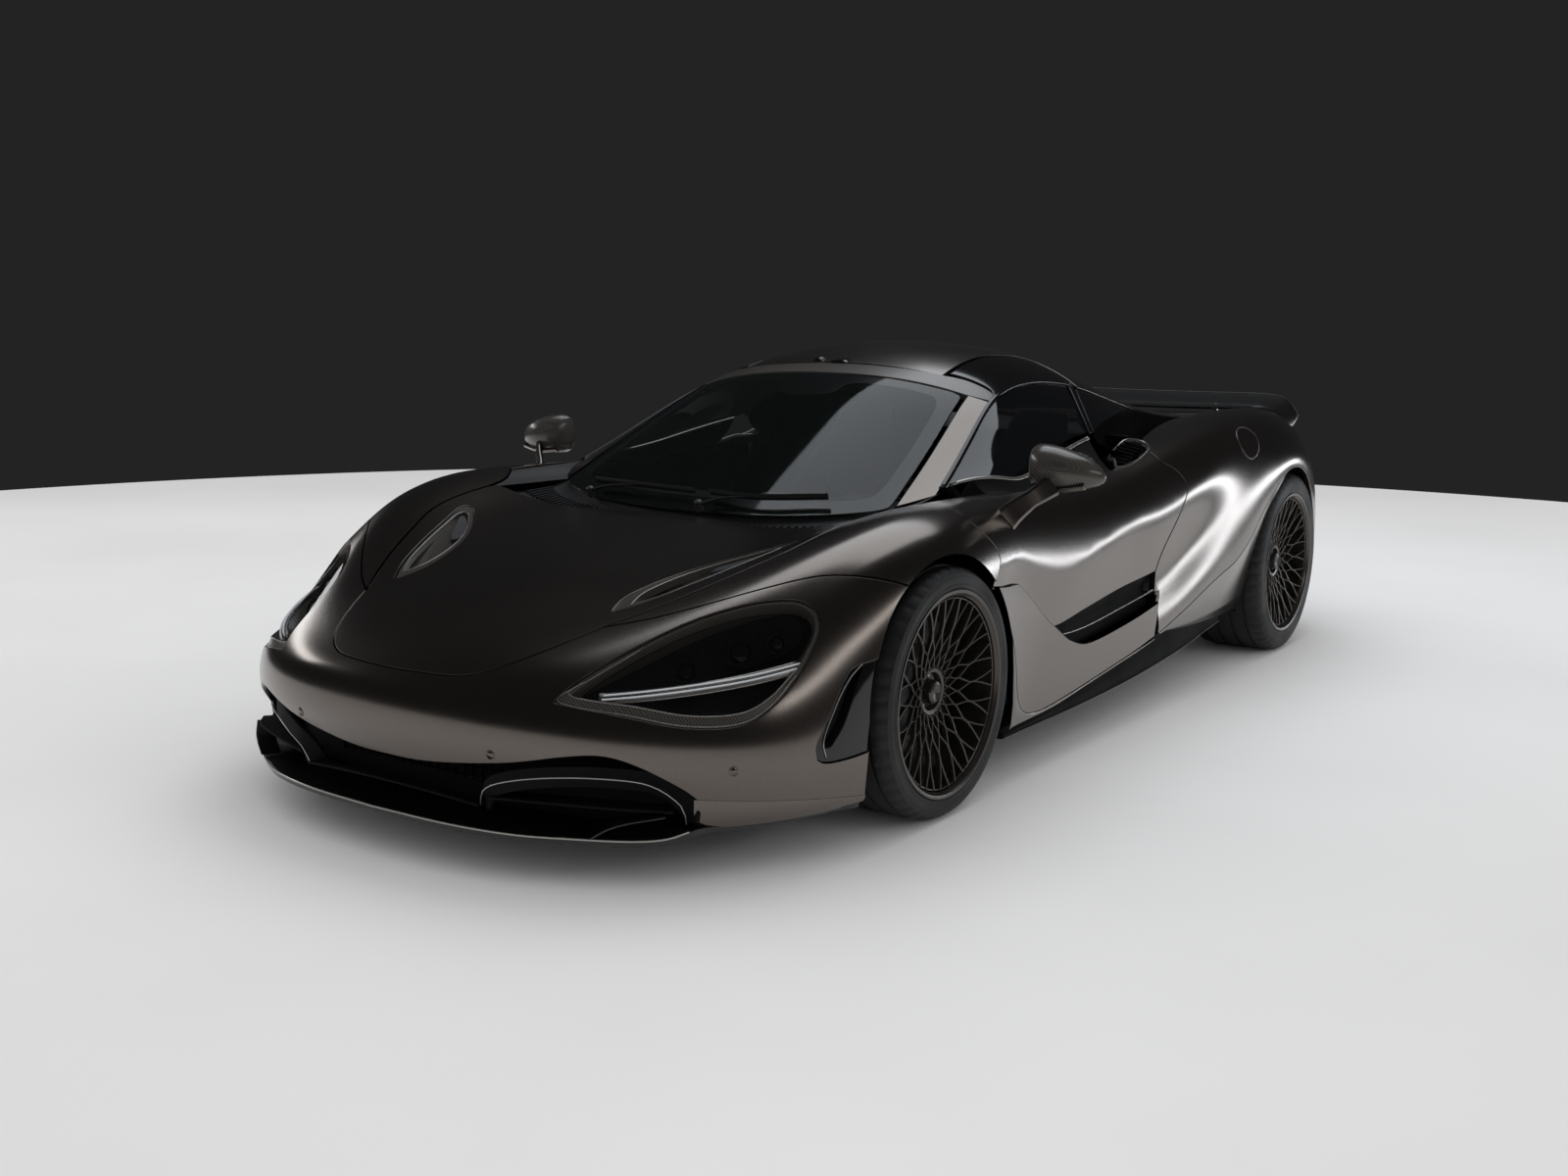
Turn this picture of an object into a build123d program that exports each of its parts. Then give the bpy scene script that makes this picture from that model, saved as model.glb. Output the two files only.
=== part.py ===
from build123d import *
from math import cos, floor, pi, radians, sin, sqrt
import os

# Two-seat mid-engined supercar. Millimetres. +X is the car's left, -Y its nose, +Z up.
# The origin is on the ground, on the centreline, at the middle of the car's length.

# ---------------------------------------------------------------- driving sizes
WHEELBASE = 2670.0
BODY_WIDTH = 1940.0
FRONT_OVERHANG = 1050.0     # front axle to the splitter's edge
REAR_OVERHANG = 820.0       # rear axle to the wing's trailing edge
ROOF_RISE = 0.0             # added to everything above the belt line
TYRE_R_F = 325.0
TYRE_W_F = 245.0
TYRE_R_R = 344.0
TYRE_W_R = 300.0
WHEEL_INSET_F = 133.0       # body side to the wheel's middle plane
WHEEL_INSET_R = 155.0
RIM_SEAT_R = min(256.0, TYRE_R_F - 69.0)    # leaves every tyre a wall
RIM_LIP_R = RIM_SEAT_R + 12.0
RIM_WALL = 9.0
SPOKES = 10
DISC_INSET = 52.0           # rim barrel to the disc's edge
DISC_T = 34.0
CALIPER_GAP = 15.0          # caliper to the rim's barrel
STUB_R = 30.0
RUN_FIT = 0.05              # radial clearance of a running bearing
SKIN = 5.0                  # thin body skin
PANEL = 22.0                # thick body panel with its inner frame
DOOR_T = 95.0
DOOR_SKIN = 16.0            # depth of the door's edge all round
GLASS_T = 5.0
SHUT = 5.0                  # gap between a moving panel and its neighbour
SEAM = 1.5                  # gap between two fixed panels
ARCH_LIP_F = 27.0           # least gap from tyre to the front arch's lip
STEER_ROOM = 24.0           # more of it behind the lip, for the steered tyre's corner
LIP_DEEP = 45.0             # from the body's side to that wider part
ARCH_LIP_R = 14.0
KINGPIN_IN = 46.0           # kingpin inboard of the wheel's middle plane
PIN_R = 9.0
EYE_OUT = 18.0              # outside of a wishbone's eye
ARM_RISE = 150.0            # hub's middle to each wishbone
ARM_T = 14.0
SEAT_W = 470.0
WHEEL_RIM_R = 178.0         # steering wheel
TOW_X = 300.0               # towing eyes, off the centreline
PLATE_HOLES = 280.0         # between the number plate's two screws
PLATE_Z = 500.0
TAILPIPE_R = 50.0
TAILPIPE_X = 185.0
WING_CHORD = 250.0
WING_T = 24.0
JACK_PAD = 90.0
HINGE_R = 6.0               # hinge pins of the bonnet and of the rear wing
HINGE_EYE = 7.0             # wall of their eyes
EYE_R = 8.0                 # towing eye thread, minor radius
EYE_DEPTH = 45.0

DISC_R = RIM_SEAT_R - RIM_WALL - DISC_INSET
LENGTH = FRONT_OVERHANG + WHEELBASE + REAR_OVERHANG
AXLE_F = -LENGTH / 2 + FRONT_OVERHANG
AXLE_R = AXLE_F + WHEELBASE
HALF = BODY_WIDTH / 2
TRACK_F = HALF - WHEEL_INSET_F
TRACK_R = HALF - WHEEL_INSET_R
DOOR_FRONT, DOOR_REAR = 420.0, 2200.0     # stations behind the front axle between which length is added
BASE_WIDTH, BASE_BELT = 1940.0, 800.0
BASE_WHEELBASE = 2670.0


def at(x, y, z):
    """Body point from (half-width, distance behind the front axle, height)."""
    stretch = WHEELBASE - BASE_WHEELBASE
    share = min(max((y - DOOR_FRONT) / (DOOR_REAR - DOOR_FRONT), 0.0), 1.0)
    rise = ROOF_RISE * min(max((z - BASE_BELT) / 350.0, 0.0), 1.0)
    return Vector(x * BODY_WIDTH / BASE_WIDTH, AXLE_F + y + stretch * share, z + rise)


# ---------------------------------------------------------------- the body's surface
# Control net of the left half: a column every so far along the car, from the bumper's lower
# edge to the tail; nine rows from the centreline, over the crown and shoulder, to the sill.
BODY = [
    [(0, -1000, 215), (230, -985, 215), (440, -940, 212), (610, -865, 205), (740, -765, 195),
     (830, -650, 182), (885, -540, 168), (915, -440, 155), (930, -362, 145)],
    [(0, -1032, 290), (232, -1018, 290), (446, -972, 287), (620, -892, 278), (752, -786, 266),
     (842, -668, 252), (897, -552, 238), (926, -448, 228), (938, -364, 220)],
    [(0, -1035, 372), (230, -1020, 371), (442, -975, 368), (615, -895, 358), (748, -788, 345),
     (840, -668, 330), (898, -548, 315), (929, -440, 304), (940, -358, 300)],
    [(0, -1000, 438), (222, -985, 438), (428, -938, 438), (598, -856, 436), (730, -750, 430),
     (825, -635, 418), (888, -520, 402), (925, -415, 388), (940, -340, 378)],
    [(0, -905, 484), (215, -890, 484), (414, -840, 488), (580, -765, 496), (712, -668, 500),
     (812, -565, 494), (882, -465, 478), (925, -375, 460), (942, -310, 446)],
    [(0, -745, 540), (210, -732, 539), (402, -690, 545), (566, -630, 566), (700, -560, 580),
     (803, -480, 576), (878, -398, 556), (925, -322, 532), (944, -262, 512)],
    [(0, -560, 590), (208, -550, 588), (394, -520, 592), (556, -480, 624), (692, -430, 648),
     (798, -375, 650), (877, -312, 628), (926, -252, 598), (947, -205, 572)],
    [(0, -360, 636), (208, -354, 633), (390, -338, 633), (550, -312, 662), (688, -282, 704),
     (798, -250, 716), (880, -212, 692), (930, -172, 652), (951, -140, 618)],
    [(0, -160, 674), (208, -158, 669), (390, -152, 664), (548, -142, 690), (688, -130, 740),
     (802, -115, 758), (886, -98, 730), (936, -80, 678), (955, -65, 643)],
    [(0, 40, 702), (208, 38, 697), (392, 34, 690), (550, 28, 712), (690, 22, 760),
     (806, 15, 780), (890, 10, 748), (938, 5, 690), (956, 5, 652)],
    [(0, 220, 722), (210, 215, 717), (398, 205, 712), (560, 190, 730), (700, 170, 770),
     (812, 150, 786), (892, 120, 750), (938, 90, 690), (956, 80, 642)],
    [(0, 370, 738), (215, 365, 734), (410, 352, 732), (575, 335, 746), (712, 310, 776),
     (818, 275, 782), (892, 232, 742), (936, 185, 672), (953, 165, 608)],
    [(0, 500, 752), (220, 495, 750), (420, 485, 750), (590, 470, 760), (725, 445, 780),
     (822, 410, 776), (888, 360, 728), (928, 310, 640), (950, 262, 545)],
    [(0, 630, 765), (222, 626, 763), (425, 618, 764), (600, 605, 770), (732, 580, 780),
     (826, 550, 766), (886, 500, 706), (924, 430, 580), (948, 340, 440)],
    [(0, 760, 800), (222, 757, 796), (428, 750, 790), (606, 740, 782), (738, 720, 778),
     (832, 690, 756), (888, 640, 684), (925, 540, 520), (948, 385, 320)],
    [(0, 900, 800), (222, 898, 796), (430, 893, 790), (610, 885, 782), (744, 870, 776),
     (838, 840, 748), (892, 790, 666), (928, 660, 470), (940, 400, 160)],
    [(0, 1080, 800), (222, 1078, 796), (432, 1074, 790), (614, 1068, 782), (750, 1056, 780),
     (846, 1030, 748), (898, 980, 660), (930, 860, 440), (940, 660, 172)],
    [(0, 1280, 800), (222, 1280, 796), (434, 1278, 792), (618, 1275, 790), (756, 1268, 792),
     (854, 1250, 760), (906, 1200, 666), (934, 1090, 440), (940, 940, 200)],
    [(0, 1500, 800), (224, 1500, 800), (436, 1500, 800), (622, 1498, 810), (762, 1495, 822),
     (862, 1480, 786), (914, 1440, 684), (940, 1350, 450), (944, 1240, 232)],
    [(0, 1720, 800), (224, 1720, 804), (440, 1720, 815), (626, 1720, 840), (768, 1718, 862),
     (870, 1705, 820), (924, 1680, 706), (948, 1610, 480), (950, 1540, 270)],
    [(0, 1940, 810), (224, 1940, 818), (440, 1940, 834), (628, 1940, 868), (772, 1940, 898),
     (876, 1930, 852), (934, 1910, 732), (956, 1860, 520), (956, 1820, 320)],
    [(0, 2150, 825), (224, 2150, 832), (440, 2150, 850), (628, 2150, 890), (772, 2150, 922),
     (880, 2145, 878), (942, 2130, 760), (962, 2100, 560), (962, 2070, 360)],
    [(0, 2350, 838), (224, 2350, 844), (440, 2350, 862), (628, 2350, 904), (770, 2350, 934),
     (880, 2350, 896), (946, 2345, 790), (968, 2330, 680), (966, 2290, 560)],
    [(0, 2530, 846), (224, 2530, 852), (440, 2530, 870), (626, 2530, 910), (766, 2530, 938),
     (878, 2535, 904), (946, 2540, 812), (970, 2540, 740), (968, 2530, 700)],
    [(0, 2700, 852), (224, 2700, 858), (440, 2700, 874), (624, 2700, 912), (760, 2700, 938),
     (872, 2705, 906), (942, 2710, 816), (966, 2710, 752), (966, 2700, 714)],
    [(0, 2880, 856), (224, 2880, 862), (440, 2880, 876), (620, 2880, 910), (748, 2880, 922),
     (856, 2880, 872), (926, 2880, 784), (956, 2870, 720), (958, 2850, 672)],
    [(0, 3050, 858), (224, 3050, 864), (438, 3050, 876), (612, 3050, 904), (736, 3050, 905),
     (838, 3045, 850), (908, 3030, 742), (944, 3000, 640), (948, 2980, 560)],
    [(0, 3220, 860), (222, 3220, 866), (434, 3215, 876), (602, 3205, 882), (720, 3195, 858),
     (820, 3180, 795), (892, 3150, 685), (930, 3110, 520), (935, 3080, 400)],
    [(0, 3400, 862), (220, 3398, 868), (428, 3385, 876), (590, 3365, 850), (700, 3345, 822),
     (790, 3315, 750), (858, 3270, 630), (894, 3220, 440), (900, 3190, 300)],
]

# Control net of the greenhouse: columns from the windscreen's base over the roof to the rear
# deck; rows from the centreline over the roof's edge and down the side glass to the belt.
CABIN = [
    [(0, 95, 700), (245, 115, 703), (480, 185, 714), (640, 290, 740), (700, 350, 752),
     (748, 400, 762), (785, 450, 766)],
    [(0, 330, 832), (230, 345, 834), (450, 395, 838), (612, 500, 838), (672, 560, 832),
     (728, 610, 808), (775, 660, 772)],
    [(0, 590, 967), (215, 598, 965), (415, 620, 955), (575, 700, 938), (640, 760, 915),
     (705, 800, 858), (762, 850, 785)],
    [(0, 860, 1095), (200, 855, 1090), (385, 850, 1068), (535, 880, 1030), (605, 930, 985),
     (680, 960, 905), (748, 1000, 805)],
    [(0, 1100, 1168), (190, 1095, 1160), (365, 1090, 1135), (505, 1080, 1085), (580, 1120, 1025),
     (662, 1140, 935), (735, 1170, 835)],
    [(0, 1330, 1190), (185, 1325, 1180), (355, 1320, 1155), (495, 1310, 1098), (570, 1330, 1035),
     (655, 1330, 950), (728, 1340, 860)],
    [(0, 1600, 1175), (182, 1590, 1164), (352, 1580, 1138), (495, 1560, 1078), (572, 1560, 1020),
     (655, 1540, 945), (722, 1520, 880)],
    [(0, 1900, 1120), (180, 1890, 1108), (350, 1860, 1082), (498, 1830, 1020), (580, 1800, 975),
     (660, 1760, 920), (718, 1720, 890)],
    [(0, 2200, 1040), (180, 2190, 1030), (350, 2150, 1003), (500, 2120, 950), (590, 2060, 925),
     (665, 1990, 900), (716, 1940, 890)],
    [(0, 2500, 960), (180, 2490, 955), (350, 2440, 935), (500, 2400, 905), (600, 2330, 895),
     (670, 2260, 890), (716, 2200, 890)],
    [(0, 2800, 905), (180, 2790, 902), (350, 2740, 895), (500, 2700, 885), (610, 2650, 880),
     (672, 2560, 880), (716, 2480, 885)],
]


def blend(count, t, mirrored):
    """Uniform cubic B-spline weights; the end is straight, or mirrored across the centreline."""
    i = int(min(max(floor(t), 0), count - 2))
    f = t - i
    cubic = ((1 - f) ** 3, 3 * f ** 3 - 6 * f ** 2 + 4, 1 + 3 * f + 3 * f ** 2 - 3 * f ** 3, f ** 3)
    weights = {}
    flipped = 0.0
    for k, w in enumerate(cubic):
        j = i - 1 + k
        w = w / 6
        if j < 0 and mirrored:
            flipped = w
        elif j < 0:
            weights[0] = weights.get(0, 0) + 2 * w
            weights[1] = weights.get(1, 0) - w
        elif j >= count:
            weights[count - 1] = weights.get(count - 1, 0) + 2 * w
            weights[count - 2] = weights.get(count - 2, 0) - w
        else:
            weights[j] = weights.get(j, 0) + w
    return weights, flipped


def surface(net, u, v):
    """Point of a net's surface; a negative v is the car's right side."""
    along, _ = blend(len(net), u, False)
    over, flipped = blend(len(net[0]), abs(v), True)
    x = y = z = 0.0
    for i, a in along.items():
        row = net[i]
        for j, b in over.items():
            x += a * b * row[j][0]
            y += a * b * row[j][1]
            z += a * b * row[j][2]
        x -= a * flipped * row[1][0]
        y += a * flipped * row[1][1]
        z += a * flipped * row[1][2]
    return at(-x if v < 0 else x, y, z)


def follow(points, t):
    """Point at share t of a smooth line through (u, v) points, by Catmull-Rom pieces."""
    spans = [sqrt((b[0] - a[0]) ** 2 + (b[1] - a[1]) ** 2) for a, b in zip(points, points[1:])]
    reach = t * sum(spans)
    i = 0
    while i < len(spans) - 1 and reach > spans[i]:
        reach -= spans[i]
        i += 1
    f = min(max(reach / spans[i], 0.0), 1.0)
    b, c = points[i], points[i + 1]
    a = points[i - 1] if i > 0 else (2 * b[0] - c[0], 2 * b[1] - c[1])
    d = points[i + 2] if i + 2 < len(points) else (2 * c[0] - b[0], 2 * c[1] - b[1])
    return tuple(
        b[k] + 0.5 * f * (c[k] - a[k] + f * (2 * a[k] - 5 * b[k] + 4 * c[k] - d[k]
                                             + f * (3 * b[k] - a[k] - 3 * c[k] + d[k])))
        for k in (0, 1))


def patch(front, rear, inner, outer, s, t):
    """Coons patch in (u, v) between four lines: s runs front to rear, t inner to outer."""
    f, r, i, o = follow(front, t), follow(rear, t), follow(inner, s), follow(outer, s)
    c00, c01, c10, c11 = front[0], front[-1], rear[0], rear[-1]
    return tuple(
        (1 - s) * f[k] + s * r[k] + (1 - t) * i[k] + t * o[k]
        - (1 - s) * (1 - t) * c00[k] - (1 - s) * t * c01[k] - s * (1 - t) * c10[k] - s * t * c11[k]
        for k in (0, 1))


def closed(outside, inside):
    """Closed solid between two grids of points."""
    top = Face.make_surface_from_array_of_points(outside, tol=0.02)
    bottom = Face.make_surface_from_array_of_points(inside, tol=0.02)
    rims = []
    for edge in top.edges():
        partner = min(bottom.edges(), key=lambda other: (other.center() - edge.center()).length)
        rims.append(Face.make_surface_from_curves(edge, partner))
    solid = Solid(Shell(Face.sew_faces([top, bottom] + rims)[0]))
    return solid if solid.volume > 0 else Solid(solid.wrapped.Reversed())


def sheet(net, front, rear, inner, outer, thick, push=None, sink=0.0, steps=(18, 12)):
    """Panel of the net's surface inside four (u, v) lines. It is thickened along its normal,
    or by the vector that push gives for its row; sink sets its outside below the surface."""
    across, down = [], []
    for a in range(steps[0]):
        row, low = [], []
        for b in range(steps[1]):
            u, v = patch(front, rear, inner, outer, a / (steps[0] - 1), b / (steps[1] - 1))
            p = surface(net, u, v)
            e = 0.01
            du = surface(net, u + e, v) - surface(net, u - e, v)
            dv = surface(net, u, v + e) - surface(net, u, v - e)
            n = dv.cross(du).normalized()
            row.append(p - n * sink)
            low.append(p - n * (sink + thick) if push is None else p + push(v))
        across.append(row)
        down.append(low)
    return closed(across, down)


def strip(net, u0, u1, v0, v1, thick, **more):
    """Panel between two stations and two rows."""
    return sheet(net, [(u0, v0), (u0, v1)], [(u1, v0), (u1, v1)],
                 [(u0, v0), (u1, v0)], [(u0, v1), (u1, v1)], thick, **more)


def block(low, high, radius=0.0):
    """Box between two body points, with its upright edges rounded."""
    a, b = at(*low), at(*high)
    size = b - a
    solid = Pos(*((a + b) * 0.5)) * Box(abs(size.X), abs(size.Y), abs(size.Z), mode=Mode.PRIVATE)
    return fillet(solid.edges().filter_by(Axis.Z), radius) if radius else solid


def rod(start, end, radius):
    """Round bar between two body points."""
    a, b = at(*start), at(*end)
    with BuildPart(mode=Mode.PRIVATE) as made:
        with BuildSketch(Plane(a, z_dir=b - a)):
            Circle(radius)
        extrude(amount=(b - a).length)
    return made.part


def ring(x_low, x_high, r_low, r_high, y, z):
    """Ring about an axle, from x_low to x_high."""
    with BuildPart(mode=Mode.PRIVATE) as made:
        with BuildSketch(Plane((x_low, y, z), x_dir=(0, 1, 0), z_dir=(1, 0, 0))):
            Circle(r_high)
            if r_low:
                Circle(r_low, mode=Mode.SUBTRACT)
        extrude(amount=x_high - x_low)
    return made.part


os.makedirs("parts", exist_ok=True)
SIDES = (("left", 1), ("right", -1))


def pin(x_low, x_high, r_low, r_high, y, z):
    """Ring across the car at a body height; a pin where its inside radius is none."""
    hub = at(0, y, z)
    return ring(x_low, x_high, r_low, r_high, hub.Y, hub.Z)


def save(piece, name):
    piece.part.label = name
    export_step(piece.part, f"parts/{name}.step")


def both_sides(solid, name):
    """Write a piece for the left side and its mirror image for the right."""
    for side, sign in SIDES:
        with BuildPart() as piece:
            add(solid if sign > 0 else mirror(solid, about=Plane.YZ, mode=Mode.PRIVATE))
        save(piece, f"{name}_{side}")


def pair(solid, name):
    """Write a piece that is one solid on the left and its mirror image on the right."""
    with BuildPart() as piece:
        add(solid)
        mirror(about=Plane.YZ)
    save(piece, name)


def smooth(points, per_span=3, loop=False):
    """Points along a smooth line through the given ones."""
    line = [points[-1]] + points + points[:2] if loop else points
    count = len(line) - 1
    dense = []
    for i in range(1 if loop else 0, count - (1 if loop else 0)):
        a = line[i - 1] if i > 0 else (2 * line[0][0] - line[1][0], 2 * line[0][1] - line[1][1])
        b, c = line[i], line[i + 1]
        d = line[i + 2] if i + 2 <= count else (2 * c[0] - b[0], 2 * c[1] - b[1])
        for step in range(per_span):
            f = step / per_span
            dense.append(tuple(
                b[k] + 0.5 * f * (c[k] - a[k] + f * (2 * a[k] - 5 * b[k] + 4 * c[k] - d[k]
                                                     + f * (3 * b[k] - a[k] - 3 * c[k] + d[k])))
                for k in (0, 1)))
    return dense if loop else dense + [line[-1]]


def plate(points, plane, amount, grow=0.0):
    """Straight prism of a polygon on a plane, its outline moved outwards by grow."""
    with BuildPart(mode=Mode.PRIVATE) as made:
        with BuildSketch(plane):
            Polygon(*points, align=None)
            if grow:
                offset(amount=grow, kind=Kind.INTERSECTION)
        extrude(amount=amount)
    return made.part


# ---------------------------------------------------------------- shut lines
# Half outlines, in half-width, distance behind the front axle and height.
BONNET = [(655, 46), (664, -110), (652, -250), (592, -362), (520, -452), (445, -545), (405, -625), (372, -712),
          (330, -830), (292, -905), (228, -950), (120, -974), (0, -984)]
SHOULDER = [(405, -760), (449, -700), (556, -631), (679, -469), (779, -366), (844, -308), (895, -250),
            (947, -165), (1010, -70)]
DOOR = [(196, 960), (194, 800), (206, 744), (251, 694), (284, 664), (299, 630), (285, 596), (256, 562), (225, 545)]
DOOR_END = [(1399, 100), (1399, 261), (1416, 376), (1424, 454), (1474, 522), (1540, 585), (1615, 643),
            (1640, 720), (1645, 960)]
DOOR_MIDDLE = [(340, 900), (340, 60), (1330, 60), (1345, 430), (1400, 520), (1540, 660), (1565, 900)]
LAMP = [(474, 422), (531, 506), (595, 562), (686, 599), (756, 610), (796, 604), (840, 573),
        (853, 533), (855, 455), (839, 399), (811, 362), (724, 367), (618, 392), (518, 409)]
SIDE_INTAKE = [(905, 276), (908, 361), (911, 436), (915, 457), (930, 462), (938, 440), (940, 300),
               (937, 262), (912, 256)]
BONNET_VENT = [(504, -275), (478, -262), (362, -560), (372, -630), (440, -500)]

BELOW = at(0, 0, 0).Z - 100


def plan(points, sign=1):
    """Half outline seen from above."""
    return [(sign * at(x, y, 0).X, at(x, y, 0).Y) for x, y in points]


def profile(points):
    """Outline seen from the side."""
    return [(at(0, y, z).Y, at(0, y, z).Z) for y, z in points]


def front_view(points, sign=1):
    """Outline seen from the front."""
    return [(sign * at(x, 0, z).X, at(0, 0, z).Z) for x, z in points]


AHEAD = Plane((0, AXLE_F - FRONT_OVERHANG - 200, 0), x_dir=(1, 0, 0), z_dir=(0, -1, 0))


def bonnet_prism(grow=0.0):
    left = smooth(BONNET)
    right = [(-x, y) for x, y in reversed(left[:-1])]
    return plate(plan(left + right), Plane.XY, 1200, grow)


def shoulder_prism(sign, grow=0.0):
    return plate(plan(smooth(SHOULDER) + [(1010, 400), (300, 400), (300, -760)], sign), Plane.XY, 1200, grow)


def door_prism(grow=0.0):
    """Everything between the door's two shut lines, seen from the side."""
    outline = smooth(DOOR) + [(150, 400), (150, 60), (1399, 60)] + smooth(DOOR_END)
    return plate(profile(outline), Plane.YZ.offset(-HALF - 200), 2 * HALF + 400, grow)


def arch_cut(x_low, x_high, lip):
    """What the steered front tyre needs: a close lip, and more room behind it."""
    with BuildPart(mode=Mode.PRIVATE) as made:
        add(ring(x_low, x_high, 0, TYRE_R_F + lip, AXLE_F, TYRE_R_F))
        add(ring(max(x_low, 0), HALF - LIP_DEEP, 0, TYRE_R_F + lip + STEER_ROOM, AXLE_F, TYRE_R_F))
    return made.part


# ---------------------------------------------------------------- front of the body
BONNET_AXIS = (36, 726)     # behind the front axle, and height
BONNET_EYE = at(706, 0, 0).X
with BuildPart() as bonnet:
    add(strip(BODY, 2.9, 9.3, -4.3, 4.3, PANEL, steps=(16, 19)))
    add(bonnet_prism(-SHUT / 2), mode=Mode.INTERSECT)
    for sign in (1, -1):
        add(plate(plan(smooth(BONNET_VENT, 3, True), sign), Plane.XY, 1000), mode=Mode.SUBTRACT)
    add(pin(BONNET_EYE - 80, BONNET_EYE + 16, 0, HINGE_R, *BONNET_AXIS))
    add(pin(-BONNET_EYE - 16, 80 - BONNET_EYE, 0, HINGE_R, *BONNET_AXIS))
save(bonnet, "bonnet")

with BuildPart() as front_bumper:
    add(strip(BODY, 0.02, 7.2, -8, 8, PANEL, steps=(16, 33)))
    add(bonnet_prism(SHUT / 2), mode=Mode.SUBTRACT)
    for sign in (1, -1):
        add(shoulder_prism(sign, SEAM / 2), mode=Mode.SUBTRACT)
        add(plate(front_view(smooth(LAMP, 2, True), sign), AHEAD, -950), mode=Mode.SUBTRACT)
        add(plate(front_view(SIDE_INTAKE, sign), AHEAD, -1000), mode=Mode.SUBTRACT)
    add(arch_cut(0, HALF + 30, ARCH_LIP_F), mode=Mode.SUBTRACT)
    add(mirror(arch_cut(0, HALF + 30, ARCH_LIP_F), about=Plane.YZ, mode=Mode.PRIVATE), mode=Mode.SUBTRACT)
    add(rod((-TOW_X, -1100, 250), (-TOW_X, -900, 250), 26), mode=Mode.SUBTRACT)
with BuildPart() as bumper_skin:
    add(front_bumper.solids().sort_by(SortBy.VOLUME)[-1])
save(bumper_skin, "front_bumper")

with BuildPart() as headlamp:
    add(strip(BODY, 1.7, 6.1, 1.6, 6.4, 30.0, sink=14.0))
    add(plate(front_view(smooth(LAMP, 2, True)), AHEAD, -950, -SEAM * 2), mode=Mode.INTERSECT)
pair(headlamp.part, "headlamps")

with BuildPart() as front_wing:
    add(strip(BODY, 4.6, 12.3, 2.3, 8, SKIN, steps=(22, 16)))
    add(bonnet_prism(SHUT / 2), mode=Mode.SUBTRACT)
    add(shoulder_prism(1, -SEAM / 2), mode=Mode.INTERSECT)
    add(door_prism(SHUT / 2), mode=Mode.SUBTRACT)
    add(plate(plan([(664, 40), (664, 400), (100, 400), (100, 40)]), Plane.XY, 1200), mode=Mode.SUBTRACT)
    add(arch_cut(HALF - 100, HALF + 30, ARCH_LIP_F), mode=Mode.SUBTRACT)
    add(pin(BONNET_EYE - 7, BONNET_EYE + 7, HINGE_R + RUN_FIT, HINGE_R + HINGE_EYE, *BONNET_AXIS))
    post = at(0, BONNET_AXIS[0], BONNET_AXIS[1])
    web = Pos(BONNET_EYE, post.Y, post.Z + HINGE_R + 14) * Box(10, 14, 24, mode=Mode.PRIVATE)
    add(web)
pair(front_wing.part, "front_wings")

with BuildPart() as cowl:
    add(strip(BODY, 8.9, 11.0, -3.8, 3.8, SKIN, sink=3.0, steps=(8, 17)))
    left = [(654, 72), (650, 285)] + smooth([(650, 285), (480, 175), (245, 105), (0, 84)])[1:]
    right = [(-x, y) for x, y in reversed(left[:-1])]
    add(plate(plan(left + right), Plane.XY, 1200), mode=Mode.INTERSECT)
save(cowl, "cowl")

with BuildPart() as front_splitter:
    left = [(560, -560), (560, -330)] + smooth([(925, -330), (925, -420), (905, -560), (850, -670), (760, -780),
                                               (640, -880), (520, -955), (400, -1005), (230, -1036), (0, -1048)])
    right = [(-x, y) for x, y in reversed(left[:-1])]
    add(plate(plan(left + right), Plane.XY.offset(112), 12))
save(front_splitter, "front_splitter")

with BuildPart() as grilles:
    for low, high in (((-470, -900, 126), (470, -780, 205)), ((500, -640, 126), (800, -520, 190)),
                      ((-800, -640, 126), (-500, -520, 190))):
        add(block(low, high))
save(grilles, "intake_grilles")

# ---------------------------------------------------------------- doors


DOOR_BELT = 4.3


def door_push(v):
    down = 60.0 * min(max((6.0 - abs(v)) / 1.6, 0.0), 1.0)
    return Vector(-DOOR_T, 0, -down)


with BuildPart() as door_middle:
    add(strip(BODY, 10.4, 19.6, DOOR_BELT + 0.05, 7.95, DOOR_T, push=door_push, sink=4.0, steps=(26, 16)))
    add(plate(profile(DOOR_MIDDLE), Plane.YZ.offset(-HALF - 200), 2 * HALF + 400), mode=Mode.INTERSECT)

with BuildPart() as door:
    add(strip(BODY, 10.0, 19.8, DOOR_BELT, 8, DOOR_SKIN, steps=(28, 16)))
    add(door_prism(-SHUT / 2), mode=Mode.INTERSECT)
    add(door_middle.part)
    add(arch_cut(0, HALF + 30, ARCH_LIP_F), mode=Mode.SUBTRACT)
both_sides(door.part, "door")

# Side glass, its rear edge and the frame over and behind it, in the greenhouse's (u, v).
GLASS_REAR = [(5.74, 3.66), (5.35, 4.5), (5.05, 5.6)]
with BuildPart() as door_glass:
    add(sheet(CABIN, [(0.6, 3.72), (0.6, 5.6)], GLASS_REAR, [(0.6, 3.72), (5.74, 3.66)],
              [(0.6, 5.6), (2.5, 5.6), (5.05, 5.6)], GLASS_T, steps=(18, 8)))
both_sides(door_glass.part, "door_glass")

with BuildPart() as door_frame:
    add(strip(CABIN, 3.5, 6.0, 2.12, 3.58, 26.0, steps=(12, 8)))
    add(sheet(CABIN, [(5.86, 3.4), (5.4, 4.5), (5.0, 5.9)], [(6.02, 3.4), (5.56, 4.5), (5.16, 5.9)],
              [(5.86, 3.4), (6.02, 3.4)], [(5.0, 5.9), (5.16, 5.9)], 24.0, steps=(5, 12)))
both_sides(door_frame.part, "door_frame")

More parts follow.
